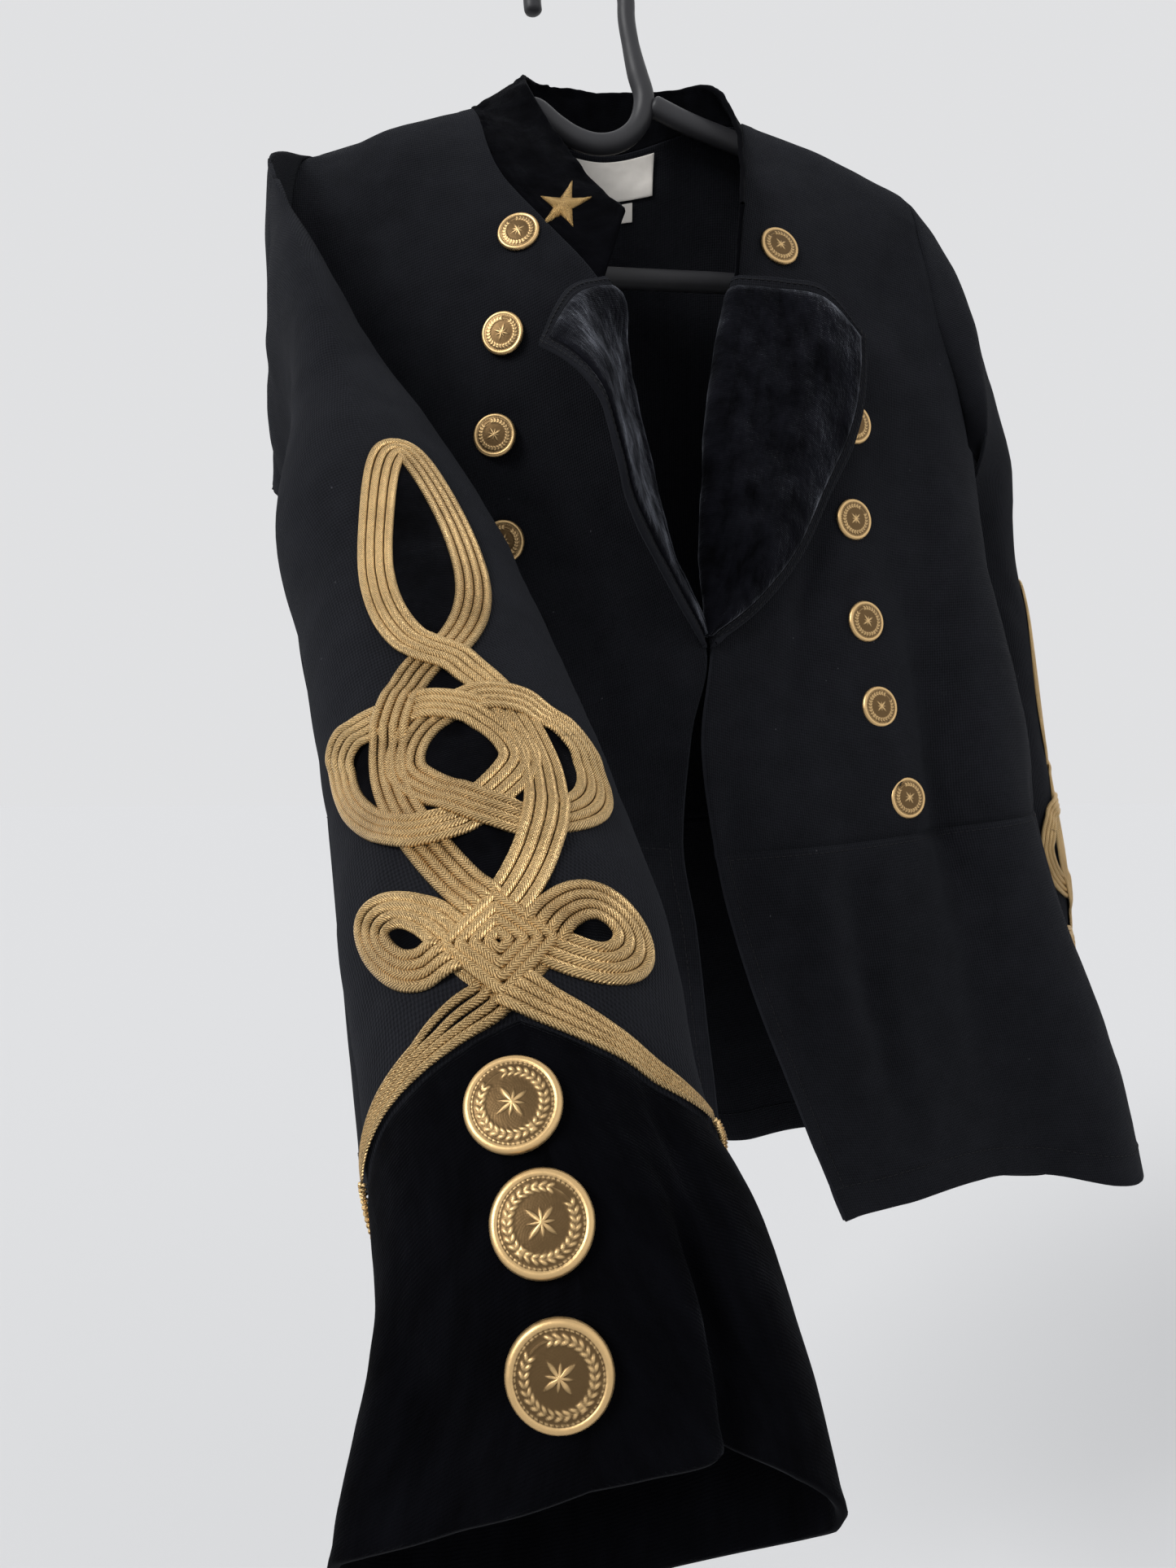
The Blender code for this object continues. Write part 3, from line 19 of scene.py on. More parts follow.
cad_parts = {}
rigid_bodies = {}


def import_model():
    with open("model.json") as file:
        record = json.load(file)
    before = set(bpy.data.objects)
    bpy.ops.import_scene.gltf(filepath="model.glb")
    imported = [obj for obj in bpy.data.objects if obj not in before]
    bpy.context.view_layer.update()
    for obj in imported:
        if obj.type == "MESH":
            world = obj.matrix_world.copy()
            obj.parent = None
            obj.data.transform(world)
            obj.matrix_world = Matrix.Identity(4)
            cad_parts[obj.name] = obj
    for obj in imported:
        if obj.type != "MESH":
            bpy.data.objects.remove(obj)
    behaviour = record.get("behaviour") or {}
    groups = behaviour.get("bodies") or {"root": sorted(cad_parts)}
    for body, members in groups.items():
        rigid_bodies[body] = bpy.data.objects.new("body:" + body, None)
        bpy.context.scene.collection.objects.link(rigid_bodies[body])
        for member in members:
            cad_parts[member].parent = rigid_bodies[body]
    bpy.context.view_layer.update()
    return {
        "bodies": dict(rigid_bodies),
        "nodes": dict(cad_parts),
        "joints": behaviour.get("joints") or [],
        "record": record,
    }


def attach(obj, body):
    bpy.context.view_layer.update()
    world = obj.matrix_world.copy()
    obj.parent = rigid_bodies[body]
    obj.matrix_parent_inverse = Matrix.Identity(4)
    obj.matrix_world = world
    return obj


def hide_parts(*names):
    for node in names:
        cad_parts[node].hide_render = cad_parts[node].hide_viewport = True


LOG = logging.getLogger("jacket")
BODY = "root"
MM = 0.001
# The thickness of the cloths
JERSEY = 2.0
VELVET = 1.8
# Rows of the bodice, from the shoulder seam at 0 down
ARMPIT, WAIST, HEM = 5, 9, 13
NECK_POINT, BREAK = 3, 7
# How deep the skirt's hem is, and how much thicker the cloth is there
HEM_SIZE = (18.0, 0.9)
# How far across the back the neckline reaches, where the armhole is at 1
NECK = 0.46
# Rows and columns of the finished cloth for each coarse one
FINE = 8
# Radians in a metre for waves that are a millimetre long
WAVES = 2000 * math.pi
# More than any distance on the jacket
FAR = 1e9

Array = np.ndarray
Socket = bpy.types.NodeSocket
Table = tuple[tuple[float, ...], ...]


class Side(Enum):
    """The wearer's side a piece is on."""

    LEFT = "left"
    RIGHT = "right"

    def __str__(self) -> str:
        """The word for it in the names of pieces and solids."""
        return self.value

    @property
    def sign(self) -> int:
        """1 on the left, -1 on the right."""
        return 1 if self is Side.LEFT else -1


class Spline:
    """A cubic through values at knots, whose slopes are those of its neighbours' chords."""

    def __init__(self, knots: Sequence[float], values: Sequence) -> None:
        """Keeps the knots and works out the slopes.

        Args:
            knots: rising places.
            values: one number or row of numbers for each.
        """
        self.knots = np.asarray(knots, float)
        self.values = np.asarray(values, float)
        self.slopes = np.gradient(self.values, self.knots, axis=0)

    def __call__(self, at: Array | float) -> Array:
        """Reads the curve.

        Args:
            at: places to read it at.

        Returns:
            One row of values for each place.
        """
        at = np.atleast_1d(np.asarray(at, float))
        i = np.clip(np.searchsorted(self.knots, at, side="right") - 1, 0, len(self.knots) - 2)
        span = self.knots[i + 1] - self.knots[i]
        s = (at - self.knots[i]) / span
        shape = (-1,) + (1,) * (self.values.ndim - 1)
        s, span = s.reshape(shape), span.reshape(shape)
        low, high = self.values[i], self.values[i + 1]
        ease = s * s * (3 - 2 * s)
        bend = self.slopes[i] * (1 - s) - self.slopes[i + 1] * s
        return low + (high - low) * ease + span * s * (1 - s) * bend


def mix(a: Array, b: Array, t: Array | float) -> Array:
    """a at 0, b at 1."""
    return np.asarray(a) * (1 - t) + np.asarray(b) * t


def unit(v: Array) -> Array:
    """Vectors scaled to length 1."""
    return v / np.maximum(np.linalg.norm(v, axis=-1, keepdims=True), 1e-12)


def bell(x: Array, width: float) -> Array:
    """1 where x is 0, and falling off to both sides over a width."""
    return np.exp(-(x / width) ** 2)


def fade(x: Array, at: float, width: float) -> Array:
    """1 where x is well under a value, and 0 where it is well over it."""
    return 1 / (1 + np.exp((x - at) / width))


def run_along(points: Array) -> Array:
    """How far along a line each of its points is."""
    return np.concatenate([[0.0], np.cumsum(np.linalg.norm(np.diff(points, axis=0), axis=1))])


def read_along(at: Array, run: Array, points: Array) -> Array:
    """A line's points, or other values, at places along it."""
    return np.stack([np.interp(at, run, points[:, k]) for k in range(points.shape[1])], axis=1)


def ahead_of(line: Array, closed: bool = False) -> Array:
    """The way ahead at each point of a line.

    Args:
        line: its points.
        closed: whether it runs into its own start.

    Returns:
        Vectors of length 1.
    """
    if closed:
        return unit(np.roll(line, -1, 0) - np.roll(line, 1, 0))
    return unit(np.gradient(line, axis=0))


def smooth(line: Array, times: int) -> None:
    """Rounds a line's corners in place, but keeps its ends."""
    for _ in range(times):
        line[1:-1] = (line[:-2] + 2 * line[1:-1] + line[2:]) / 4


def tube_faces(rows: int, rounds: int, closed: bool = False) -> list[tuple[int, ...]]:
    """Faces of a tube.

    Args:
        rows: how many rings of points it has.
        rounds: points in each ring.
        closed: whether its last ring joins its first. If not, it gets two end faces.

    Returns:
        Indices of points, ring after ring.
    """
    faces = []
    for i in range(rows if closed else rows - 1):
        k = (i + 1) % rows
        for m in range(rounds):
            w = (m + 1) % rounds
            faces.append((i * rounds + m, i * rounds + w, k * rounds + w, k * rounds + m))
    if not closed:
        faces += [tuple(range(rounds))[::-1], tuple((rows - 1) * rounds + m for m in range(rounds))]
    return faces


def spread(first: float, last: float, spans: int, ease: float = 1.0) -> list[float]:
    """Evenly spread values, closer together at the first one where ease is over 1."""
    return [first + (last - first) * (i / spans) ** ease for i in range(spans + 1)]


def swell(folds: Iterable[Sequence[float]], across: Array, down: Array) -> Array:
    """How far folds stand out.

    Args:
        folds: for each, its place across, height, width, where it starts and where it is full.
        across: places across.
        down: places down.

    Returns:
        Millimetres at each place.
    """
    out = np.zeros(np.broadcast(across, down).shape)
    for at, height, width, top, full in folds:
        fall = np.clip((down - top) / (full - top), 0.0, 1.0)
        out = out + height * fall * bell(across - at, width)
    return out


def fractal(points: Array, size: float, seed: float, octaves: int = 3) -> Array:
    """Soft noise at points, about -1 to 1.

    Args:
        points: places in millimetres, any shape ending in 3.
        size: millimetres of its largest lumps.
        seed: moves the pattern.
        octaves: how many finer layers it has.

    Returns:
        A value for each point.
    """
    flat = points.reshape(-1, 3) / size + seed
    out = np.array([noise.fractal(Vector(p), 0.9, 2.1, octaves) for p in flat])
    return out.reshape(points.shape[:-1])


COARSE_ARMHOLE = spread(0, NECK_POINT, 6, 1.3) + spread(NECK_POINT, ARMPIT, 4)[1:]
COARSE_BODICE = COARSE_ARMHOLE + spread(ARMPIT, BREAK, 4)[1:] + spread(BREAK, WAIST, 3)[1:]
ARMHOLE_STEPS = len(COARSE_ARMHOLE) - 1
# The coarse steps where the lapel starts under the collar and where it ends
LAPEL_STEP, BREAK_STEP = 6, 14


def bodice_rows(first: int, last: int) -> Array:
    """Rows of the bodice between two of its coarse steps, finely spread."""
    steps = np.linspace(first, last, (last - first) * FINE + 1)
    return np.interp(steps, range(len(COARSE_BODICE)), COARSE_BODICE)


@dataclass
class Front:
    """One front panel's surface.

    Columns of rows: row, then x, y, z of its edge, of its chest line and of its side, then its side's swing.
    Columns of folds: what swell takes. Columns of the lapel's lines: share along each, then x, y, z.
    """

    side: Side
    rows: Table
    folds: Table
    lapel_top: Table
    lapel_outer: Table
    lapel_roll: float = 4.0
    edge: Spline = field(init=False)
    chest: Spline = field(init=False)
    outer: Spline = field(init=False)
    swing: Spline = field(init=False)

    def __post_init__(self) -> None:
        """Makes the curves down the panel."""
        table = np.array(self.rows, float)
        self.edge = Spline(table[:, 0], table[:, 1:4])
        self.chest = Spline(table[:, 0], table[:, 4:7])
        self.outer = Spline(table[:, 0], table[:, 7:10])
        self.swing = Spline(table[:, 0], table[:, 10:11])

    def line(self, row: float, across: Array) -> Array:
        """Points along one row, from the edge at 0 to the armhole or side seam at 1.

        Args:
            row: how far down, in rows of the bodice.
            across: places across.

        Returns:
            A point for each place.
        """
        edge, outer, chest = self.edge(row)[0], self.outer(row)[0], self.chest(row)[0]
        if row == 0:
            return mix(edge, outer, across[:, None])
        swing = self.swing(row)[0, 0]
        turn = mix(chest, outer, 0.80) + swing * np.array((0.4 * self.side.sign, -0.9, 0.0))
        beyond = 2 * outer - turn
        if row > ARMPIT:
            beyond = outer + (outer - turn) * np.array((-1.0, 1.0, 1.0))
        points = Spline((0, 0.5, 0.85, 1, 1.15), (edge, chest, turn, outer, beyond))(across)
        points[:, 1] -= (1.0 - across ** 8) * swell(self.folds, across, row)
        return points

    def grid(self, rows: Sequence[float], across: Array) -> Array:
        """Rows of points."""
        return np.array([self.line(row, across) for row in rows])

    def flap_line(self, along: float, shares: Array) -> Array:
        """Points across the turned-back lapel, from its outer edge to its base, at a share down the roll.

        Args:
            along: share of the way down the roll.
            shares: places from the outer edge at 0 to the base at 1.

        Returns:
            A point for each place.
        """
        roll = self.edge(NECK_POINT + (BREAK - NECK_POINT) * along)[0]
        top, outer = np.array(self.lapel_top), np.array(self.lapel_outer)
        top_line = Spline(top[:, 0], top[:, 1:])
        start, corner = top[0, 1:], top[-1, 1:]
        shut = 1 - along
        near = min(1.0, 3 * shut)
        base = roll + np.array((0.0, -2 * self.lapel_roll, 0.0)) * near
        rim = Spline(outer[:, 0], outer[:, 1:])(along)[0]
        q = (1 - shares)[:, None]
        bow = (top_line(1 - shares) - mix(start, corner, q)) * shut ** 2
        crown = np.array((0.0, -5.0, 0.0)) * np.sin(math.pi * q) * near
        return mix(base, rim, q) + bow + crown

    def flap(self, alongs: Sequence[float], spans: int) -> Array:
        """The lapel's grid, from its outer edge round the roll to the panel's edge.

        Args:
            alongs: shares of the way down the roll.
            spans: columns between edge and base.

        Returns:
            Rows of points.
        """
        rows = []
        shares = np.linspace(0, 1, spans + 1)
        for along in alongs:
            roll = self.edge(NECK_POINT + (BREAK - NECK_POINT) * along)[0]
            near = min(1.0, 3 * (1 - along))
            flat = self.flap_line(along, shares)
            turn = np.array((-self.side.sign * 1.5 * self.lapel_roll, -self.lapel_roll, 0.0)) * near
            tip = roll + turn
            bend = [mix(mix(flat[-1], tip, t), mix(tip, roll, t), t) for t in (0.2, 0.4, 0.6, 0.8)]
            rows.append([*flat, *bend, roll])
        return np.array(rows)


@dataclass
class Back:
    """The back's surface.

    Columns of rows: row, then x, y, z of its yoke line and of its middle, then how round its right and left
    sides are. Columns of armholes: row, then x, y, z.
    """

    rows: Table
    folds: Table
    armholes: dict[Side, Table]
    fronts: dict[Side, Front]

    def __post_init__(self) -> None:
        """Makes the curves down the back."""
        table = np.array(self.rows, float)
        self.yoke = Spline(table[:, 0], table[:, 1:4])
        self.centre = Spline(table[:, 0], table[:, 4:7])
        self.round = Spline(table[:, 0], table[:, 7:9])
        self.holes = {}
        for side, rows in self.armholes.items():
            self.holes[side] = Spline([row[0] for row in rows], [row[1:] for row in rows])

    def half(self, side: Side, row: float, out: Array) -> Array:
        """Points of one side of the back, by how far out they are, from 0 to 1.

        Args:
            side: which side.
            row: how far down, in rows of the bodice.
            out: places outward.

        Returns:
            A point for each place.
        """
        front = self.fronts[side]
        neck = front.rows[0]
        lean = self.centre(row)[0][0] - self.rows[0][4]
        yoke = self.yoke(row)[0] + np.array((neck[1] + lean, 0.0, neck[3]))
        centre = self.centre(row)[0]
        outer = self.holes[side](row)[0] if row <= ARMPIT else front.outer(row)[0]
        swing = self.round(row)[0][1 if side is Side.LEFT else 0]
        turn = mix(yoke, outer, 0.72) + swing * np.array((0.4 * side.sign, 0.9, 0.0))
        beyond = 2 * outer - turn
        if row > ARMPIT:
            beyond = outer + (outer - turn) * np.array((-1.0, 1.0, 1.0))
        mirror = mix(centre, yoke, -1.0)
        mirror[1:] = yoke[1:]
        knots = (-NECK, 0, NECK, NECK + 0.72 * (1 - NECK), 1, 1.2)
        points = Spline(knots, (mirror, centre, yoke, turn, outer, beyond))(out)
        if row == 0:
            straight = mix(yoke, outer, ((out - NECK) / (1 - NECK))[:, None])
            points = np.where((out >= NECK)[:, None], straight, points)
        return points

    def line(self, row: float, across: Array) -> Array:
        """Points along one row, from the right armhole at -1 to the left one at 1.

        Args:
            row: how far down, in rows of the bodice.
            across: places across.

        Returns:
            A point for each place.
        """
        out = np.abs(across)
        left = self.half(Side.LEFT, row, out)
        right = self.half(Side.RIGHT, row, out)
        points = np.where((across > 0)[:, None], left, right)
        points[:, 1] += (1.0 - out ** 8) * swell(self.folds, (across + 1) / 2, row)
        return points

    def grid(self, rows: Sequence[float], across: Array) -> Array:
        """Rows of points."""
        return np.array([self.line(row, across) for row in rows])


@dataclass
class Arm:
    """One sleeve's surface and places on it.

    Columns of rings: share along the arm, x, y, z, half width, half depth, turn. Columns of cuff: degrees
    round the arm, and where the cuff starts and ends there. Facing holds which way the arm's top and front
    lie, at the armhole and along the arm. Cuts are degrees round the arm for each coarse column, lean moves
    the knot across by how far up it is, and dents hold degrees, height, width, share along the arm and reach.
    """

    side: Side
    rings: Table
    facing: tuple[tuple[float, float, float], ...]
    cuff: Table
    folds: Table
    cuts: tuple[float, ...]
    lean: tuple[tuple[float, float], ...]
    tilt: float
    dents: Table = ()

    def __post_init__(self) -> None:
        """Makes the curves along the arm and measures its top."""
        table = np.array(self.rings, float)
        self.middle = Spline(table[:, 0], table[:, 1:4])
        self.sizes = Spline(table[:, 0], table[:, 4:7])
        top = 48
        self.levels = np.linspace(0.30, 0.96, 67)
        self.angles = np.linspace(-120, 120, 2 * top + 1)
        angle, level = np.meshgrid(self.angles, self.levels)
        grid = self.skin_point(angle.ravel(), level.ravel()).reshape(*angle.shape, 3)
        steps = np.linalg.norm(np.diff(grid, axis=1), axis=2)
        arcs = np.concatenate([np.zeros((len(self.levels), 1)), np.cumsum(steps, axis=1)], axis=1)
        self.arcs = arcs - arcs[:, top:top + 1]
        along = run_along(grid[:, top])
        self.along = along - np.interp(self.edges(0.0)[0], self.levels, along)

    def frame(self, s: Array) -> tuple[Array, Array, Array]:
        """The arm's middle at shares s, with its half depth and half width as vectors.

        Args:
            s: shares along the arm.

        Returns:
            Middles, and the vectors to the arm's top and to its front.
        """
        middle = self.middle(s)
        wide, deep, turn = (self.sizes(s)[:, k:k + 1] for k in range(3))
        turn = np.minimum(turn, 1.0)
        square = np.maximum(turn, 0.0)
        tangent = unit(self.middle(np.minimum(s + 0.02, 1.0)) - self.middle(s - 0.02))
        top_start, front_start, top_end, front_end = (np.array(f) for f in self.facing)
        up = unit(mix(top_start, top_end, turn))
        up = unit(up - np.sum(up * tangent, axis=1, keepdims=True) * tangent * square)
        fore = mix(front_start, front_end, turn)
        fore = fore - np.sum(fore * tangent, axis=1, keepdims=True) * tangent * square
        fore = unit(fore - np.sum(fore * up, axis=1, keepdims=True) * up)
        return middle, up * deep, fore * wide

    def edges(self, angle: Array | float) -> tuple[Array, Array]:
        """Where the cuff starts and ends along the arm, at angles round it.

        Args:
            angle: degrees from the arm's top.

        Returns:
            Shares along the arm.
        """
        angle = (np.asarray(angle, float) + 180) % 360 - 180
        table = np.array(self.cuff)
        return np.interp(angle, table[:, 0], table[:, 1]), np.interp(angle, table[:, 0], table[:, 2])

    def skin_point(self, angle: Array, s: Array) -> Array:
        """Points of the arm's tube, at degrees round it from its top towards its front.

        Args:
            angle: degrees for each point.
            s: share along the arm for each point.

        Returns:
            Points.
        """
        middle, up, fore = self.frame(s)
        turn = np.radians(angle)[:, None]
        out = up * np.cos(turn) + fore * np.sin(turn)
        angle = (np.asarray(angle) + 180) % 360 - 180
        rise = swell(self.folds, angle, s)
        for at, height, width, place, reach in self.dents:
            rise = rise + height * np.exp(-((angle - at) / width) ** 2 - ((s - place) / reach) ** 2)
        return middle + out + unit(out) * rise[:, None]

    def skin(self, angle: Array, s: Array) -> tuple[Array, Array]:
        """Points of the tube and their outward normals.

        Args:
            angle: degrees for each point.
            s: share along the arm for each point.

        Returns:
            Points and unit vectors.
        """
        angle, s = (np.atleast_1d(np.asarray(values, float)) for values in (angle, s))
        point = self.skin_point(angle, s)
        across = self.skin_point(angle + 3, s) - self.skin_point(angle - 3, s)
        along = self.skin_point(angle, s + 0.01) - self.skin_point(angle, s - 0.01)
        normal = unit(np.cross(across, along))
        sign = np.sign(np.sum(normal * (point - self.middle(s)), axis=1, keepdims=True))
        return point, normal * sign

    def locate(self, p: Array, q: Array) -> tuple[Array, Array]:
        """Degrees round the arm and the share along it, for places across and up from the cuff's point.

        Args:
            p: millimetres across.
            q: millimetres up.

        Returns:
            Degrees and shares.
        """
        s = np.interp(-q, self.along, self.levels)
        lean = np.array(self.lean, float)
        p = p + np.interp(q, lean[:, 0], lean[:, 1])
        i = np.clip(np.searchsorted(self.levels, s), 1, len(self.levels) - 1)
        f = (s - self.levels[i - 1]) / (self.levels[i] - self.levels[i - 1])
        arcs = self.arcs[i - 1] * (1 - f[:, None]) + self.arcs[i] * f[:, None]
        angle = np.array([np.interp(x, arc, self.angles) for x, arc in zip(p, arcs)])
        return angle, s

    def surface(self, p: Array, q: Array) -> tuple[Array, Array]:
        """Points and outward normals at places across and up from the cuff's point."""
        return self.skin(*self.locate(np.asarray(p, float), np.asarray(q, float)))

    def rise(self, p: Array) -> Array:
        """How far up from the cuff's point its edge lies, at places across it."""
        angle, _ = self.locate(p, np.zeros_like(p))
        return -np.interp(self.edges(angle)[0], self.levels, self.along)

    def grid(self, armhole: Array, fine: int, sleeve_spans: int, cuff_spans: int) -> tuple[Array, Array]:
        """The grids of the sleeve and of its cuff.

        Args:
            armhole: the armhole's points, fine of them for each of the arm's cuts.
            fine: how many columns there are for each cut.
            sleeve_spans: rows of the sleeve.
            cuff_spans: rows of the cuff.

        Returns:
            Rows of points of the sleeve, and of the cuff.
        """
        count = len(armhole)
        k = np.arange(count) / fine
        even = 360 * k / len(self.cuts)
        low = np.interp(k, range(len(self.cuts) + 1), (*self.cuts, 360))
        start = self.middle(0.0)[0]
        level = self.cuff[0][1]
        rows = []
        for u in spread(0, 1, sleeve_spans, 1.15) + spread(1, 2, cuff_spans)[1:]:
            near = min(max((u - 0.5) / 0.3, 0.0), 1.0)
            angle = even + (low - even) * near * near * (3 - 2 * near)
            begin, hem = self.edges(angle)
            s = u * level + (begin - level) * u ** 6 if u <= 1 else begin + (hem - begin) * (u - 1)
            hold = (np.maximum(0.0, 1 - s / 0.14) ** 2)[:, None]
            rows.append(mix(self.skin_point(angle, s), armhole + (self.middle(s) - start), hold))
        grid = np.array(rows)
        return grid[:sleeve_spans + 1], grid[sleeve_spans:]


LEFT_FRONT = Front(
    side=Side.LEFT,
    rows=((0, 94, 0, -89, 138, 0, -105, 184, 0, -123, 0),
          (1, 91, -20, -103, 139, -22, -119, 190, -20, -140, 0),
          (2, 86, -44, -145, 141, -38, -158, 194, -31, -172, 0),
          (3, 77, -66, -210, 143, -47, -208, 201, -33, -210, 0),
          (4, 69, -71, -256, 146, -50, -253, 219, -19, -243, 4),
          (5, 63, -74, -303, 149, -52, -300, 236, 4, -272, 12),
          (6, 59, -77, -356, 152, -54, -352, 244, 5, -342, 18),
          (7, 61, -79, -405, 154, -57, -402, 258, 5, -398, 20),
          (8, 56, -81, -456, 157, -62, -451, 269, 3, -444, 20),
          (9, 64, -80, -512, 161, -66, -504, 274, 0, -489, 20),
          (10, 74, -80, -553, 170, -68, -550, 288, -1, -543, 22),
          (11, 90, -80, -600, 180, -66, -598, 306, -2, -596, 24),
          (12, 111, -80, -652, 196, -62, -647, 325, -4, -651, 22),
          (13, 132, -80, -703, 218, -56, -692, 336, -6, -706, 20)),
    folds=((0.66, -7, 0.06, 4.2, 6.0), (0.30, 7, 0.16, 8.5, 13), (0.60, -6, 0.10, 8.5, 13),
           (0.78, 8, 0.10, 8.5, 13), (0.05, -3, 0.10, 7.2, 9.5)),
    lapel_top=((0.0, 77, -80, -211), (0.35, 100, -77, -213), (0.7, 124, -72, -216), (1.0, 147, -67, -236)),
    lapel_outer=((0.0, 147, -67, -236), (0.18, 147, -66, -266), (0.35, 141, -66, -292),
                 (0.52, 128, -67, -319), (0.70, 110, -72, -355), (0.86, 86, -78, -384),
                 (1.0, 62, -84, -403)))

RIGHT_FRONT = Front(
    side=Side.RIGHT,
    rows=((0, -64, 0, -90, -112, 0, -107, -150, 0, -121, 0),
          (1, -59, -20, -104, -108, -22, -119, -156, -17, -134, -6),
          (2, -46, -46, -150, -103, -38, -157, -158, -34, -166, -7),
          (3, 3, -84, -222, -95, -48, -212, -156, -38, -214, -4),
          (4, 10, -82, -256, -90, -51, -261, -157, -30, -262, -2),
          (5, 19, -79, -296, -84, -53, -307, -162, 0, -306, 2),
          (6, 34, -78, -352, -74, -55, -355, -162, 0, -352, 6),
          (7, 57, -79, -405, -60, -58, -403, -158, 0, -400, 10),
          (8, 50, -76, -450, -54, -62, -450, -149, 0, -446, 12),
          (9, 46, -74, -506, -50, -66, -500, -143, 0, -490, 14),
          (10, 53, -74, -550, -46, -68, -548, -138, 0, -544, 16),
          (11, 59, -73, -600, -42, -68, -598, -133, 0, -596, 18),
          (12, 65, -72, -650, -38, -68, -648, -128, 0, -648, 20),
          (13, 70, -71, -702, -34, -68, -698, -123, 0, -700, 20)),
    folds=((0.30, 6, 0.18, 9.0, 13), (0.62, -8, 0.14, 9.0, 13)),
    lapel_top=((0.0, 3, -90, -222), (0.35, -14, -99, -233), (0.7, -24, -113, -251), (1.0, -31, -126, -270)),
    lapel_outer=((0.0, -31, -126, -270), (0.12, -18, -138, -282), (0.28, -4, -144, -300),
                 (0.42, 2, -143, -319), (0.58, 11, -132, -345), (0.80, 32, -109, -374),
                 (1.0, 56, -84, -404)))

BACK = Back(
    rows=((0, 0, 0, 0, 15, 30, -95, 0, 0), (1, 0, 17, -16, 15, 33, -112, 0, 0),
          (2, 0, 31, -56, 15, 37, -150, 0, 0), (3, 0, 38, -112, 15, 40, -205, 0, 0),
          (4, 0, 41, -160, 16, 42, -255, 3, 0), (5, 0, 42, -208, 17, 43, -302, 10, -4),
          (6, 1, 43, -258, 20, 44, -352, 14, -6), (7, 2, 42, -306, 24, 43, -400, 16, -6),
          (8, 3, 40, -354, 28, 40, -450, 16, -6), (9, 4, 38, -404, 34, 36, -498, 16, -5),
          (10, 6, 41, -454, 42, 40, -546, 18, -3), (11, 9, 44, -504, 52, 44, -596, 20, -1),
          (12, 12, 46, -556, 64, 48, -648, 22, 2), (13, 15, 48, -606, 78, 50, -698, 24, 4)),
    folds=((0.16, 9, 0.05, 9.0, 13), (0.30, -8, 0.05, 9.0, 13), (0.44, 10, 0.06, 9.0, 13),
           (0.58, -9, 0.05, 9.0, 13), (0.72, 9, 0.06, 9.0, 13), (0.86, -6, 0.05, 9.0, 13)),
    armholes={Side.LEFT: ((0, 184, 0, -123), (1, 189, 19, -140), (2, 192, 33, -172), (3, 198, 36, -210),
                          (4, 214, 25, -243), (5, 236, 4, -272)),
              Side.RIGHT: ((0, -150, 0, -121), (1, -157, 17, -134), (2, -158, 32, -166), (3, -154, 38, -214),
                           (4, -157, 30, -264), (5, -162, 0, -306))},
    fronts={Side.LEFT: LEFT_FRONT, Side.RIGHT: RIGHT_FRONT})

RIGHT_ARM = Arm(
    side=Side.RIGHT,
    rings=((0.00, -160, -2, -216, 42, 92, 0.0), (0.06, -169, -36, -233, 25, 81, 0.20),
           (0.11, -156, -62, -257, 22, 72, 0.40), (0.16, -138, -88, -280, 20, 63, 0.72),
           (0.26, -115, -123, -327, 31, 55, 1.0), (0.36, -102, -162, -367, 43, 48, 1.0),
           (0.47, -85, -202, -410, 45, 42, 1.0), (0.65, -62, -280, -486, 46, 39, 1.0),
           (0.76, -52, -331, -527, 46, 37, 1.0), (0.86, -46, -376, -567, 42, 33, 1.0),
           (0.92, -39, -396, -594, 46, 28, 1.0), (0.96, -37, -403, -616, 51, 25, 1.0),
           (1.00, -37, -408, -641, 56, 24, 1.0)),
    facing=((0.0, 0.0, 1.0), (0.0, -1.0, 0.0), (-0.10, -0.72, 0.68), (0.93, 0.05, 0.30)),
    cuff=((-180, 0.886, 1.030), (-108, 0.880, 1.018), (-90, 0.862, 1.012), (-54, 0.848, 0.994),
          (0, 0.832, 0.970), (40, 0.858, 0.962), (56, 0.868, 0.974), (104, 0.884, 1.000),
          (180, 0.886, 1.030)),
    folds=((26, 3.0, 9.0, 0.84, 0.98), (41, -9.0, 9.0, 0.84, 0.98), (-40, -2.0, 12.0, 0.88, 1.0),
           (-62, 2.5, 12.0, 0.88, 1.0)),
    cuts=(0, 14, 26, 41, 56, 80, 104, 124, 144, 162, *range(180, 360, 18)),
    lean=((0, -3), (60, -1.5), (100, -2), (144, -1), (200, 4), (270, 12)), tilt=0.28,
    dents=((-55, -13.0, 50, 0.10, 0.07), (-85, -5.0, 40, 0.24, 0.10), (25, 4.0, 30, 0.05, 0.05)))

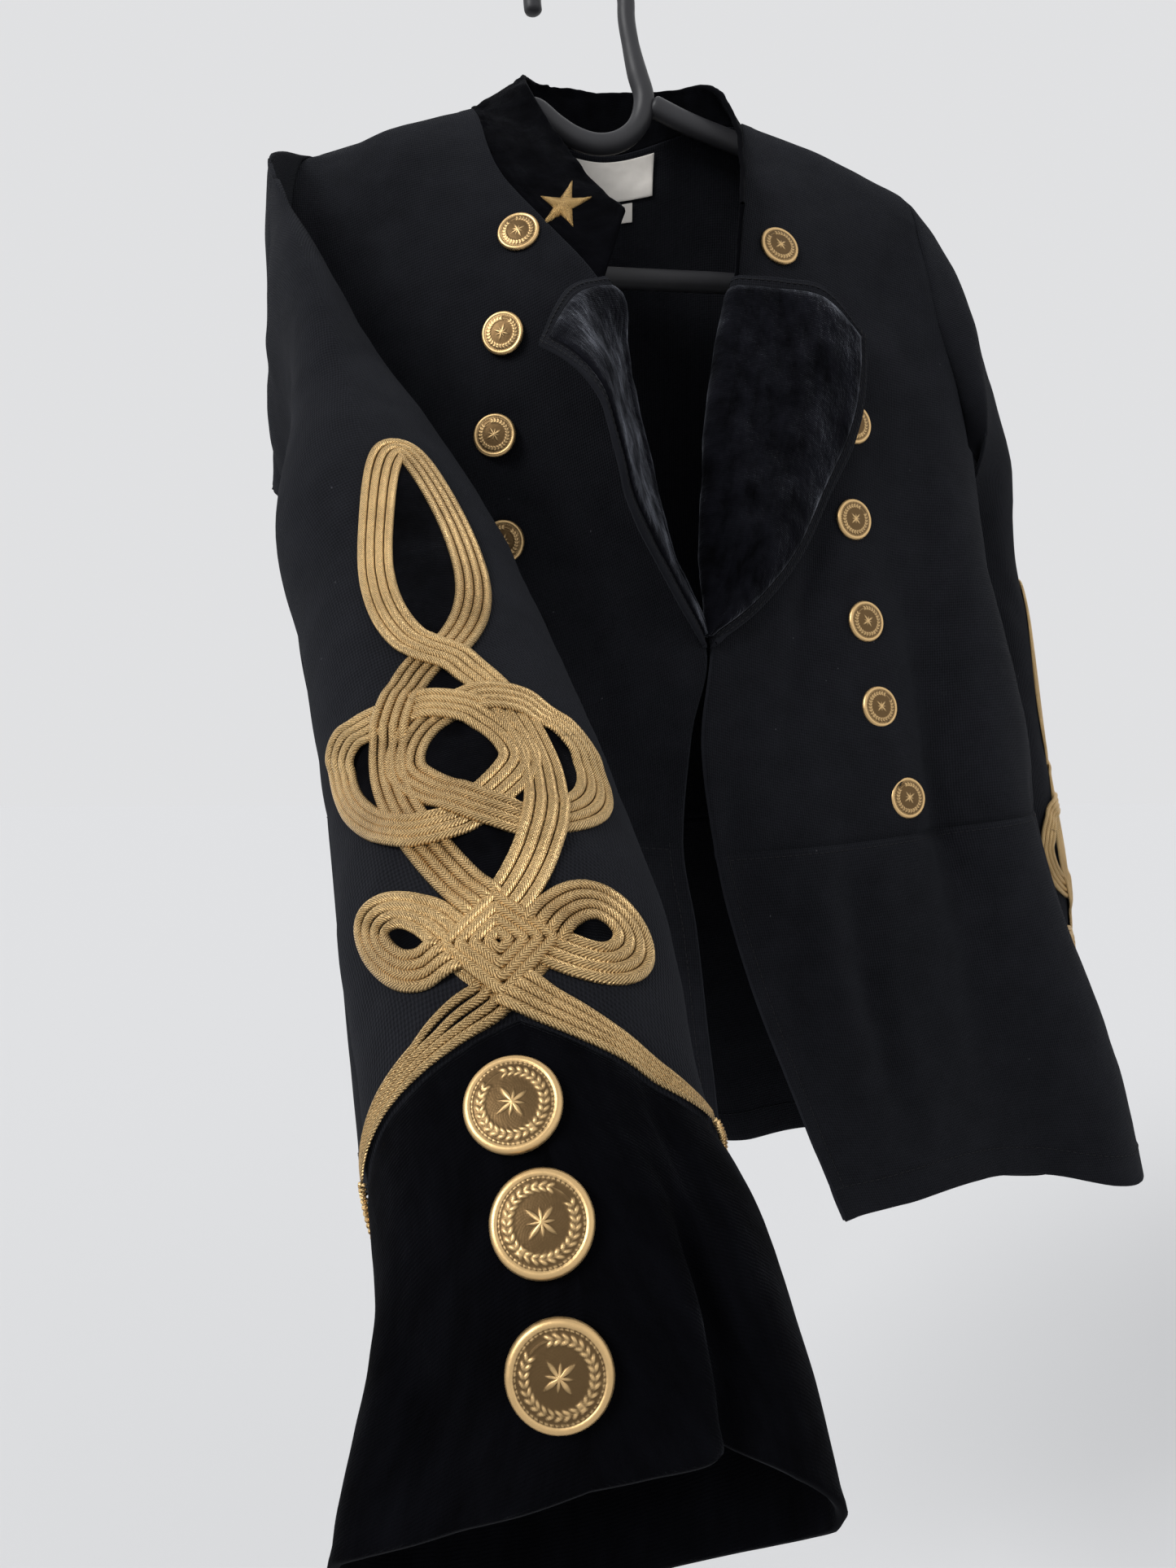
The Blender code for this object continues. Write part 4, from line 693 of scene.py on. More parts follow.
LEFT_ARM = Arm(
    side=Side.LEFT,
    rings=((0.00, 210, 2, -197, 38, 78, 0.0), (0.07, 231, 14, -217, 36, 60, 0.08),
           (0.15, 247, 36, -260, 33, 45, 0.30), (0.25, 254, 60, -316, 30, 36, 0.70),
           (0.36, 260, 62, -378, 33, 40, 1.0), (0.50, 269, 63, -458, 35, 42, 1.0),
           (0.65, 280, 63, -541, 35, 46, 1.0), (0.80, 284, 65, -621, 33, 47, 1.0),
           (0.90, 281, 66, -673, 30, 50, 1.0), (1.00, 277, 67, -724, 27, 54, 1.0)),
    facing=((-0.33, -0.03, 0.94), (0.0, -1.0, 0.0), (0.98, 0.0, 0.17), (0.0, -1.0, 0.0)),
    cuff=((-180, 0.845, 1.0), (-72, 0.840, 1.0), (0, 0.775, 1.0), (72, 0.840, 1.0), (180, 0.845, 1.0)),
    folds=((40, -2.5, 14.0, 0.88, 1.0), (-50, 2.0, 14.0, 0.88, 1.0)),
    cuts=tuple(range(0, 360, 18)), lean=((0, 0), (270, 0)), tilt=0.0)

FRONTS = {Side.LEFT: LEFT_FRONT, Side.RIGHT: RIGHT_FRONT}
ARMS = {Side.LEFT: LEFT_ARM, Side.RIGHT: RIGHT_ARM}


class Nodes:
    """A material's node tree, with short calls for its parts."""

    def __init__(self, name: str) -> None:
        """Makes a material of one plain shader.

        Args:
            name: the material's name.
        """
        self.material = bpy.data.materials.new(name)
        self.material.use_nodes = True
        self.tree = self.material.node_tree
        self.shader = next(n for n in self.tree.nodes if n.type == "BSDF_PRINCIPLED")

    def add(self, kind: str, **settings: object) -> bpy.types.Node:
        """Adds a node. Settings name its properties.

        Args:
            kind: the node's type.
            settings: its properties.

        Returns:
            The node.
        """
        node = self.tree.nodes.new(kind)
        for key, value in settings.items():
            setattr(node, key, value)
        return node

    def link(self, source: Socket, target: Socket) -> None:
        """Joins two sockets."""
        self.tree.links.new(source, target)

    def math(self, operation: str, a: object, b: object = 0.0, c: object = 0.0) -> Socket:
        """A math node over sockets or numbers.

        Args:
            operation: what it works out.
            a: the first one.
            b: the second one.
            c: the third one, where there is one.

        Returns:
            Its output.
        """
        node = self.add("ShaderNodeMath", operation=operation)
        for socket, value in zip(node.inputs, (a, b, c)):
            if isinstance(value, (int, float)):
                socket.default_value = value
            else:
                self.link(value, socket)
        return node.outputs[0]

    def times(self, a: object, b: object) -> Socket:
        """A product."""
        return self.math("MULTIPLY", a, b)

    def plus(self, a: object, b: object) -> Socket:
        """A sum."""
        return self.math("ADD", a, b)

    def scaled(self, a: object, share: object, offset: object) -> Socket:
        """A value scaled by a share and then moved by an offset."""
        return self.math("MULTIPLY_ADD", a, share, offset)

    def noise(self, scale: float, detail: float = 3.0, source: object = None, rough: float = 0.55) -> Socket:
        """Noise over the object's own coordinates, or over a vector.

        Args:
            scale: lumps in a metre.
            detail: how many finer layers it has.
            source: the vector, if not the object's coordinates.
            rough: how strong the finer layers are.

        Returns:
            Its value.
        """
        node = self.add("ShaderNodeTexNoise")
        node.inputs["Scale"].default_value = scale
        node.inputs["Detail"].default_value = detail
        node.inputs["Roughness"].default_value = rough
        if source is None:
            source = self.add("ShaderNodeTexCoord").outputs["Object"]
        self.link(source, node.inputs["Vector"])
        return node.outputs["Fac"]

    def uv(self) -> tuple[Socket, Socket, Socket]:
        """The cloth's own coordinates in metres: the whole vector, across and along.

        Returns:
            Three outputs.
        """
        vector = self.add("ShaderNodeUVMap", uv_map="Weave").outputs["UV"]
        parts = self.add("ShaderNodeSeparateXYZ")
        self.link(vector, parts.inputs[0])
        return vector, parts.outputs[0], parts.outputs[1]

    def ramp(self, source: Socket, stops: Sequence[tuple[float, Sequence[float]]]) -> Socket:
        """Colours by a value.

        Args:
            source: the value.
            stops: places from 0 to 1, and the colour at each.

        Returns:
            The colour.
        """
        node = self.add("ShaderNodeValToRGB")
        ends = node.color_ramp.elements
        while len(ends) < len(stops):
            ends.new(0.5)
        for end, (place, colour) in zip(ends, stops):
            end.position = place
            end.color = (*colour, 1.0)
        self.link(source, node.inputs[0])
        return node.outputs["Color"]

    def blend(self, share: object, a: object, b: object) -> Socket:
        """Colour a where share is 0, b where it is 1.

        Args:
            share: a socket or number from 0 to 1.
            a: a socket or colour.
            b: a socket or colour.

        Returns:
            The colour.
        """
        node = self.add("ShaderNodeMix", data_type="RGBA")
        colours = [s for s in node.inputs if s.type == "RGBA"]
        for socket, value in ((node.inputs[0], share), (colours[0], a), (colours[1], b)):
            if isinstance(value, (int, float)):
                socket.default_value = value
            elif isinstance(value, tuple):
                socket.default_value = (*value, 1.0)
            else:
                self.link(value, socket)
        return next(s for s in node.outputs if s.type == "RGBA")

    def bump(self, height: Socket, strength: float, distance: float, before: object = None) -> object:
        """A bump from a height, over another bump if one is given.

        Args:
            height: the height's output.
            strength: from 0 to 1.
            distance: metres.
            before: the bump under it.

        Returns:
            The normal.
        """
        node = self.add("ShaderNodeBump")
        node.inputs["Strength"].default_value = strength
        node.inputs["Distance"].default_value = distance
        self.link(height, node.inputs["Height"])
        if before is not None:
            self.link(before, node.inputs["Normal"])
        return node.outputs[0]

    def set(self, **values: object) -> None:
        """Sets the shader's own sockets.

        Args:
            values: numbers, colours or outputs by socket name. Underscores stand for spaces.
        """
        for key, value in values.items():
            socket = self.shader.inputs[key.replace("_", " ")]
            if isinstance(value, Socket):
                self.link(value, socket)
            else:
                colour = isinstance(value, tuple) and len(value) == 3
                socket.default_value = (*value, 1.0) if colour else value


@dataclass(frozen=True)
class JerseyFinish:
    """Brushed black knit: fine ribs with small loops, a soft bloom and a little lint."""

    name: str = "black_jersey"
    dark: tuple[float, float, float] = (0.0018, 0.0019, 0.0026)
    pale: tuple[float, float, float] = (0.0092, 0.0096, 0.0122)
    rib: float = 1.15
    loop: float = 1.5
    lint: float = 0.35
    depth: float = 0.00034

    def make(self) -> bpy.types.Material:
        """Makes the material.

        Returns:
            The material.
        """
        n = Nodes(self.name)
        vector, u, v = n.uv()
        worn = n.noise(7.0, 4.0)
        fuzz = n.noise(900.0, 2.0)
        patchy = n.noise(60.0, 5.0)
        wander = n.times(n.noise(220.0, 2.0, vector), 0.0007)
        ribs = n.math("SINE", n.times(n.plus(u, wander), WAVES / self.rib))
        tilt = n.times(n.math("ABSOLUTE", ribs), 1.6)
        loops = n.math("SINE", n.plus(n.times(v, WAVES / self.loop), tilt))
        height = n.plus(n.times(ribs, 0.5), n.times(loops, 0.3))
        tone = n.scaled(n.plus(worn, patchy), 0.7, -0.2)
        # Paler on the raised ribs and loops and darker between them: painted shade in the knit's hollows,
        # over the random wear, patches and fuzz.
        tone = n.plus(n.scaled(height, 0.45, tone), n.scaled(fuzz, 0.5, -0.25))
        base = n.blend(tone, self.dark, self.pale)
        specks = n.add("ShaderNodeTexVoronoi", feature="F1")
        specks.inputs["Scale"].default_value = 130.0
        n.link(vector, specks.inputs["Vector"])
        near = n.math("LESS_THAN", specks.outputs["Distance"], 0.05)
        chosen = n.add("ShaderNodeSeparateXYZ")
        n.link(specks.outputs["Color"], chosen.inputs[0])
        rare = n.math("GREATER_THAN", chosen.outputs[0], 0.93)
        dust = n.times(n.times(near, rare), self.lint)
        n.set(Base_Color=n.blend(dust, base, (0.10, 0.10, 0.11)), Roughness=0.95, Specular_IOR_Level=0.05)
        n.set(Sheen_Weight=0.025, Sheen_Roughness=0.6, Sheen_Tint=(0.80, 0.86, 1.0))
        knit = n.bump(height, 0.75, self.depth)
        n.set(Normal=n.bump(fuzz, 0.35, 0.0004, n.bump(patchy, 0.25, 0.0009, knit)))
        return n.material


@dataclass(frozen=True)
class VelvetFinish:
    """Black velvet: a deep pile that lights up at its edges and where it is crushed."""

    name: str = "black_velvet"
    dark: tuple[float, float, float] = (0.0005, 0.0005, 0.0008)
    pale: tuple[float, float, float] = (0.0019, 0.0020, 0.0030)
    sheen: float = 0.018
    row: float = 0.9
    crush: float = 1.0

    def make(self) -> bpy.types.Material:
        """Makes the material.

        Returns:
            The material.
        """
        n = Nodes(self.name)
        vector, _, v = n.uv()
        stretched = n.add("ShaderNodeMapping")
        stretched.inputs["Scale"].default_value = (1.0, 0.35, 1.0)
        n.link(vector, stretched.inputs["Vector"])
        brushed = n.noise(150.0, 5.0, stretched.outputs[0], 0.6)
        crushed = n.noise(38.0, 4.0, vector, 0.6)
        pile = n.noise(2600.0, 2.0, vector)
        share = n.times(n.plus(brushed, crushed), 0.5)
        lit = n.times(n.math("POWER", crushed, 4.0), 14.0 * self.sheen)
        n.set(Base_Color=n.ramp(share, ((0.35, self.dark), (0.68, self.pale))), Roughness=0.85)
        n.set(Sheen_Weight=lit, Sheen_Roughness=0.34, Sheen_Tint=(0.82, 0.87, 1.0), Specular_IOR_Level=0.02)
        lines = n.math("SINE", n.scaled(v, WAVES / self.row, n.times(brushed, 9.0)))
        soft = n.bump(crushed, 0.5, 0.0022 * self.crush, n.bump(lines, 0.3, 0.0002))
        swept = n.bump(brushed, 0.45, 0.0011 * self.crush, soft)
        n.set(Normal=n.bump(pile, 0.6, 0.0004, swept))
        return n.material


@dataclass(frozen=True)
class CordFinish:
    """Gold thread laid as a chain of slanting stitches along a cord."""

    name: str = "gold_cord"
    # The gold runs from deep, the painted shade in the thread's grooves, to bright, its painted highlights.
    bright: tuple[float, float, float] = (0.98, 0.69, 0.33)
    deep: tuple[float, float, float] = (0.20, 0.115, 0.040)
    pitch: float = 1.05
    slant: float = 1.5

    def make(self) -> bpy.types.Material:
        """Makes the material.

        Returns:
            The material.
        """
        n = Nodes(self.name)
        _, u, v = n.uv()
        side = n.math("ABSOLUTE", u)
        along = n.scaled(side, self.slant, v)
        uneven = n.times(n.noise(260.0, 3.0), 0.0009)
        threads = n.math("SINE", n.times(n.plus(along, uneven), WAVES / self.pitch))
        fine = n.math("SINE", n.times(along, WAVES / self.pitch * 3.1))
        height = n.plus(n.times(threads, 0.5), n.times(fine, 0.2))
        tone = n.noise(45.0, 3.0)
        glint = n.noise(1400.0, 2.0)
        # The colour is paler on the stitches' ridges and darker in their grooves (painted shade), varies at
        # random in tone, and is brightened in fine spots (painted glints).
        share = n.plus(n.scaled(threads, 0.26, 0.02), n.times(tone, 0.45))
        share = n.scaled(glint, 0.55, share)
        n.set(Base_Color=n.ramp(share, ((0.24, self.deep), (0.70, self.bright))), Metallic=0.75,
              Roughness=n.scaled(glint, 0.3, 0.20), Specular_IOR_Level=0.5)
        n.set(Normal=n.bump(glint, 0.6, 0.0004, n.bump(height, 1.0, 0.0006)))
        return n.material


@dataclass(frozen=True)
class GiltFinish:
    """Old gilt metal, browner and rougher in its hollows."""

    name: str = "old_gilt"
    bright: tuple[float, float, float] = (0.60, 0.405, 0.19)
    deep: tuple[float, float, float] = (0.115, 0.070, 0.030)

    def make(self) -> bpy.types.Material:
        """Makes the material.

        Returns:
            The material.
        """
        n = Nodes(self.name)
        high = n.add("ShaderNodeAttribute", attribute_name="Relief")
        wear = n.noise(500.0, 4.0)
        share = n.plus(high.outputs["Fac"], n.scaled(wear, 0.4, -0.2))
        n.set(Base_Color=n.ramp(share, ((0.12, self.deep), (0.62, self.bright))), Metallic=0.92,
              Roughness=n.scaled(wear, 0.3, 0.26), Specular_IOR_Level=0.5)
        n.set(Normal=n.bump(wear, 0.25, 0.0003))
        return n.material


@dataclass(frozen=True)
class SatinFinish:
    """A woven cream label."""

    name: str = "cream_satin"
    colour: tuple[float, float, float] = (0.74, 0.70, 0.645)

    def make(self) -> bpy.types.Material:
        """Makes the material.

        Returns:
            The material.
        """
        n = Nodes(self.name)
        vector, u, v = n.uv()
        warp = n.math("SINE", n.times(u, WAVES / 0.35))
        weft = n.math("SINE", n.times(v, WAVES / 0.5))
        grubby = n.noise(90.0, 4.0, vector)
        darker = tuple(0.78 * c for c in self.colour)
        n.set(Base_Color=n.blend(grubby, darker, self.colour), Roughness=0.55)
        n.set(Sheen_Weight=0.25, Specular_IOR_Level=0.4)
        n.set(Normal=n.bump(n.plus(warp, weft), 0.3, 0.00012))
        return n.material


@dataclass(frozen=True)
class PlasticFinish:
    """Moulded black plastic with a faint orange peel."""

    name: str = "black_plastic"
    colour: tuple[float, float, float] = (0.017, 0.017, 0.019)

    def make(self) -> bpy.types.Material:
        """Makes the material.

        Returns:
            The material.
        """
        n = Nodes(self.name)
        peel = n.noise(400.0, 3.0)
        scuffs = n.noise(70.0, 5.0)
        paler = tuple(1.6 * c for c in self.colour)
        n.set(Base_Color=n.blend(scuffs, self.colour, paler), Roughness=n.scaled(scuffs, 0.25, 0.38),
              Specular_IOR_Level=0.3)
        n.set(Normal=n.bump(peel, 0.12, 0.0004))
        return n.material


class Wardrobe:
    """Every finish of the jacket, made once."""

    def __init__(self) -> None:
        """Makes the materials."""
        self.jersey = JerseyFinish().make()
        # The inner faces get a paler copy of the jersey, painted lighter to lift the shade inside the jacket.
        self.inside = JerseyFinish(name="jersey_inside", lint=0.1, rib=1.4, dark=(0.0030, 0.0032, 0.0042),
                                   pale=(0.0100, 0.0104, 0.0132)).make()
        self.velvet = VelvetFinish().make()
        # The facings get a paler copy of the velvet, palest where it is crushed: a painted sheen on the
        # lapels, over the random crush.
        self.facing = VelvetFinish(name="facing_velvet", sheen=0.22, crush=2.6,
                                   pale=(0.0060, 0.0062, 0.0090)).make()
        self.cord = CordFinish().make()
        self.piping = CordFinish(name="gold_twist", slant=0.0, pitch=1.4).make()
        self.star = CordFinish(name="gold_satin_stitch", slant=0.0, pitch=0.8,
                               bright=(0.98, 0.66, 0.27)).make()
        self.gilt = GiltFinish().make()
        self.satin = SatinFinish().make()
        self.plastic = PlasticFinish().make()
        self.thread = self.make_thread()

    @staticmethod
    def make_thread() -> bpy.types.Material:
        """Black sewing thread.

        Returns:
            The material.
        """
        n = Nodes("black_thread")
        twist = n.noise(3000.0, 2.0)
        n.set(Base_Color=n.blend(twist, (0.004, 0.004, 0.005), (0.009, 0.009, 0.011)))
        n.set(Roughness=0.8, Specular_IOR_Level=0.2)
        n.set(Normal=n.bump(twist, 0.5, 0.0001))
        return n.material


class Mesh:
    """Gathers points, faces, cloth coordinates and relief for one piece."""

    def __init__(self) -> None:
        """Starts empty."""
        self.points: list[Array] = []
        self.faces: list[tuple[int, ...]] = []
        self.coords: list[tuple[float, float]] = []
        self.slots: list[int] = []
        self.relief: list[Array] = []
        self.count = 0

    def extend(self, points: Array, faces: Iterable[Sequence[int]], coords: Iterable | None = None,
               slot: int = 0, relief: Array | None = None) -> None:
        """Adds points and faces.

        Args:
            points: rows of x, y, z.
            faces: indices into these points.
            coords: cloth coordinates in metres, one for each face corner.
            slot: which of the piece's materials they get.
            relief: how high each point stands, from 0 to 1.
        """
        points = np.asarray(points, float).reshape(-1, 3)
        faces = [tuple(int(k) + self.count for k in f) for f in faces]
        corners = sum(len(f) for f in faces)
        self.points.append(points)
        self.faces += faces
        self.coords += list(coords) if coords is not None else [(0.0, 0.0)] * corners
        self.slots += [slot] * len(faces)
        self.relief.append(np.ones(len(points)) if relief is None else np.asarray(relief, float))
        self.count += len(points)

    def build(self, name: str, *materials: bpy.types.Material) -> bpy.types.Object:
        """Makes the object, in metres.

        Args:
            name: its name.
            materials: one for each slot.

        Returns:
            The object.
        """
        mesh = bpy.data.meshes.new(name)
        mesh.from_pydata((np.concatenate(self.points) * MM).tolist(), [], self.faces)
        layer = mesh.uv_layers.new(name="Weave")
        layer.data.foreach_set("uv", np.array(self.coords, float).ravel())
        mesh.polygons.foreach_set("material_index", self.slots)
        relief = mesh.attributes.new("Relief", "FLOAT", "POINT")
        relief.data.foreach_set("value", np.concatenate(self.relief))
        for material in materials:
            mesh.materials.append(material)
        mesh.shade_smooth()
        mesh.update()
        found = bpy.data.objects.new(name, mesh)
        bpy.context.scene.collection.objects.link(found)
        return found


def settle(piece: bpy.types.Object, slot: str, *nodes: str) -> bpy.types.Object:
    """Rides a piece on the jacket, in place of the solids that it stands for.

    Args:
        piece: the object.
        slot: not used.
        nodes: the solids.

    Returns:
        The same piece.
    """
    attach(piece, BODY)
    if nodes:
        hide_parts(*nodes)
    LOG.info("%s: %d faces", piece.name, len(piece.data.polygons))
    return piece


@dataclass
class Patch:
    """A grid of points of the cloth's middle, with what is needed to make it a sheet."""

    name: str
    grid: Array
    flip: bool
    closed: bool = False
    seams: str = ""
    normals: Array = field(default=None)
    shift: Array = field(default=None)

    def ringed(self) -> Array:
        """Its grid, where a tube's first column comes again at the end."""
        return np.concatenate([self.grid, self.grid[:, :1]], axis=1) if self.closed else self.grid

    def face_normals(self) -> tuple[Array, Array]:
        """Area vectors of its faces, and the points' sums of them.

        Returns:
            A vector for each face, and one for each point.
        """
        g = self.ringed()
        area = np.cross(g[1:, 1:] - g[:-1, :-1], g[1:, :-1] - g[:-1, 1:]) * (-0.5 if self.flip else 0.5)
        total = np.zeros_like(g)
        total[:-1, :-1] += area
        total[:-1, 1:] += area
        total[1:, :-1] += area
        total[1:, 1:] += area
        if self.closed:
            total[:, 0] += total[:, -1]
            total = total[:, :-1]
        return area, total

    def lengths(self) -> tuple[Array, Array]:
        """Millimetres across each row from its middle, and down each column, a last column closing a tube.

        Returns:
            Both, for each point.
        """
        g = self.ringed()
        across = np.linalg.norm(np.diff(g, axis=1), axis=2)
        across = np.concatenate([np.zeros((len(g), 1)), np.cumsum(across, axis=1)], axis=1)
        middle = g.shape[1] // 2
        down = np.linalg.norm(np.diff(g, axis=0), axis=2)
        down = np.concatenate([np.zeros((1, g.shape[1])), np.cumsum(down, axis=0)], axis=0)
        return across - across[:, middle:middle + 1], down

    def from_edge(self, edge: str) -> Array:
        """Millimetres of each point from an edge: t, b, l or r for its first and last row and column.

        Args:
            edge: t, b, l or r.

        Returns:
            Millimetres for each point.
        """
        across, down = self.lengths()
        if self.closed:
            across, down = across[:, :-1], down[:, :-1]
        return {"t": down, "b": down[-1:] - down,
                "l": across - across[:, :1], "r": across[:, -1:] - across}[edge]

    def area(self) -> float:
        """Its area in square metres."""
        return float(np.linalg.norm(self.face_normals()[0], axis=2).sum()) * 1e-6

    def cut(self) -> tuple[tuple[float, float], float]:
        """The width and length in metres of the cloth that it is cut from, and its area.

        Returns:
            Width and length, and the area.
        """
        across, down = self.lengths()
        width = float((across[:, -1] - across[:, 0]).max()) * MM
        length = float(down[-1].max()) * MM
        return (width, length), min(self.area(), width * length)


class Cloth:
    """All the patches of the jacket, which share their normals along the seams."""

    def __init__(self) -> None:
        """Starts empty."""
        self.patches: dict[str, Patch] = {}

    def add(self, patch: Patch) -> Patch:
        """Keeps a patch."""
        self.patches[patch.name] = patch
        return patch

    def weld(self) -> None:
        """Works out the normals, the same for patches that meet."""
        names = list(self.patches)
        points = np.concatenate([self.patches[n].grid.reshape(-1, 3) for n in names])
        sums = np.concatenate([self.patches[n].face_normals()[1].reshape(-1, 3) for n in names])
        _, same = np.unique(np.round(points / 0.02).astype(np.int64), axis=0, return_inverse=True)
        same = same.ravel()
        total = np.zeros((same.max() + 1, 3))
        np.add.at(total, same, sums)
        normals = unit(total[same])
        start = 0
        for name in names:
            patch = self.patches[name]
            size = patch.grid.shape[0] * patch.grid.shape[1]
            patch.normals = normals[start:start + size].reshape(patch.grid.shape)
            patch.shift = np.zeros(patch.grid.shape[:2])
            start += size


@dataclass(frozen=True)
class Crease:
    """A fold pressed or hung in the cloth, along points in millimetres. A negative height is a valley."""

    points: tuple[tuple[float, float, float], ...]
    height: float
    width: float

    def apply(self, patch: Patch) -> None:
        """Shifts a patch's points along their normals near the crease.

        Args:
            patch: the cloth.
        """
        ends = np.linspace(0, 1, len(self.points))
        line = Spline(ends, self.points)(np.linspace(0, 1, 25))
        flat = patch.grid.reshape(-1, 3)
        best = np.full(len(flat), FAR)
        share = np.zeros(len(flat))
        for k, (a, b) in enumerate(zip(line, line[1:])):
            run = b - a
            t = np.clip(((flat - a) @ run) / max(float(run @ run), 1e-9), 0, 1)
            gap = np.linalg.norm(flat - a - t[:, None] * run, axis=1)
            closer = gap < best
            best[closer] = gap[closer]
            share[closer] = (k + t[closer]) / (len(line) - 1)
        taper = np.sin(math.pi * np.clip(share, 0.02, 0.98)) ** 0.7
        rise = self.height * bell(best, self.width) * taper
        patch.shift += rise.reshape(patch.shift.shape)


def sheet_mesh(mesh: Mesh, patch: Patch, thick: Array | float, outer: int = 0, inner: int = 0,
               round_edges: str = "", lift: float = 0.0) -> None:
    """Adds a patch to a mesh as a sheet with both faces and its edges.

    Args:
        mesh: what it is added to.
        patch: the sheet's middle.
        thick: its thickness in millimetres, one number or one for each point.
        outer: the material slot of its outer face.
        inner: the material slot of its inner face.
        round_edges: the edges that are rounded, of t, b, l and r.
        lift: how far it lies over its own surface.
    """
    rows, cols = patch.grid.shape[:2]
    half = np.broadcast_to(np.asarray(thick, float) / 2, (rows, cols))
    middle = patch.grid + patch.normals * (patch.shift + lift)[..., None]
    tops = middle + patch.normals * half[..., None]
    backs = middle - patch.normals * half[..., None]
    across, down = patch.lengths()
    spans = cols if patch.closed else cols - 1
    i, j = (k.ravel() for k in np.meshgrid(range(rows - 1), range(spans), indexing="ij"))
    corners = [(i, j), (i, j + 1), (i + 1, j + 1), (i + 1, j)]
    if patch.flip:
        corners = corners[::-1]
    ids = np.stack([a * cols + b % cols for a, b in corners], axis=1)
    coords = np.stack([np.stack([across[a, b], down[a, b]], axis=1) for a, b in corners], axis=1) * MM
    mesh.extend(tops.reshape(-1, 3), ids, coords.reshape(-1, 2).tolist(), outer)
    mesh.extend(backs.reshape(-1, 3), ids[:, ::-1], coords[:, ::-1].reshape(-1, 2).tolist(), inner)
    total = rows * cols
    start = mesh.count - 2 * total
    grid = np.arange(total).reshape(rows, cols)
    sides = {"t": (grid[0], grid[1], False), "b": (grid[-1], grid[-2], True)}
    if not patch.closed:
        sides.update({"l": (grid[:, 0], grid[:, 1], True), "r": (grid[:, -1], grid[:, -2], False)})
    flat = middle.reshape(-1, 3)
    for edge, (line, next_line, forward) in sides.items():
        out = unit(flat[line] - flat[next_line])
        bulge = (half.ravel()[line] * (0.75 if edge in round_edges else 0.0))[:, None]
        rim = flat[line] + out * bulge
        turn = forward != patch.flip
        ring = list(range(len(line)))
        pairs = list(zip(ring, ring[1:] + ring[:1])) if patch.closed else list(zip(ring, ring[1:]))
        faces = []
        for a, b in pairs:
            if turn:
                a, b = b, a
            faces.append((start + line[b], start + line[a], mesh.count + a, mesh.count + b))
            faces.append((mesh.count + b, mesh.count + a, start + total + line[a], start + total + line[b]))
        base = mesh.count
        mesh.extend(rim, [tuple(k - base for k in f) for f in faces], None, outer)


def threads(mesh: Mesh, points: Array, normals: Array) -> None:
    """Adds a row of stitches along a line of points on cloth that has these normals.

    Args:
        mesh: what they are added to.
        points: the line, in millimetres.
        normals: the cloth's normals there.
    """
    pitch, length, radius = 3.4, 2.5, 0.3
    run = run_along(points)
    profile = ((-0.5, 0.35), (-0.25, 1.0), (0.25, 1.0), (0.5, 0.35))
    sides = 5
    turns = np.radians(range(0, 360, 360 // sides))
    for start in np.arange(0, run[-1] - length, pitch):
        at = [start + (0.5 + share) * length for share, _ in profile]
        places = read_along(at, run, points)
        ups = unit(read_along(at, run, normals))
        ahead = unit(places[-1] - places[0])
        rings = []
        for place, up, (_, scale) in zip(places, ups, profile):
            other = np.cross(ahead, up)
            rings += [place + radius * scale * (up * math.sin(t) + other * math.cos(t)) for t in turns]
        mesh.extend(np.array(rings), tube_faces(len(profile), sides))


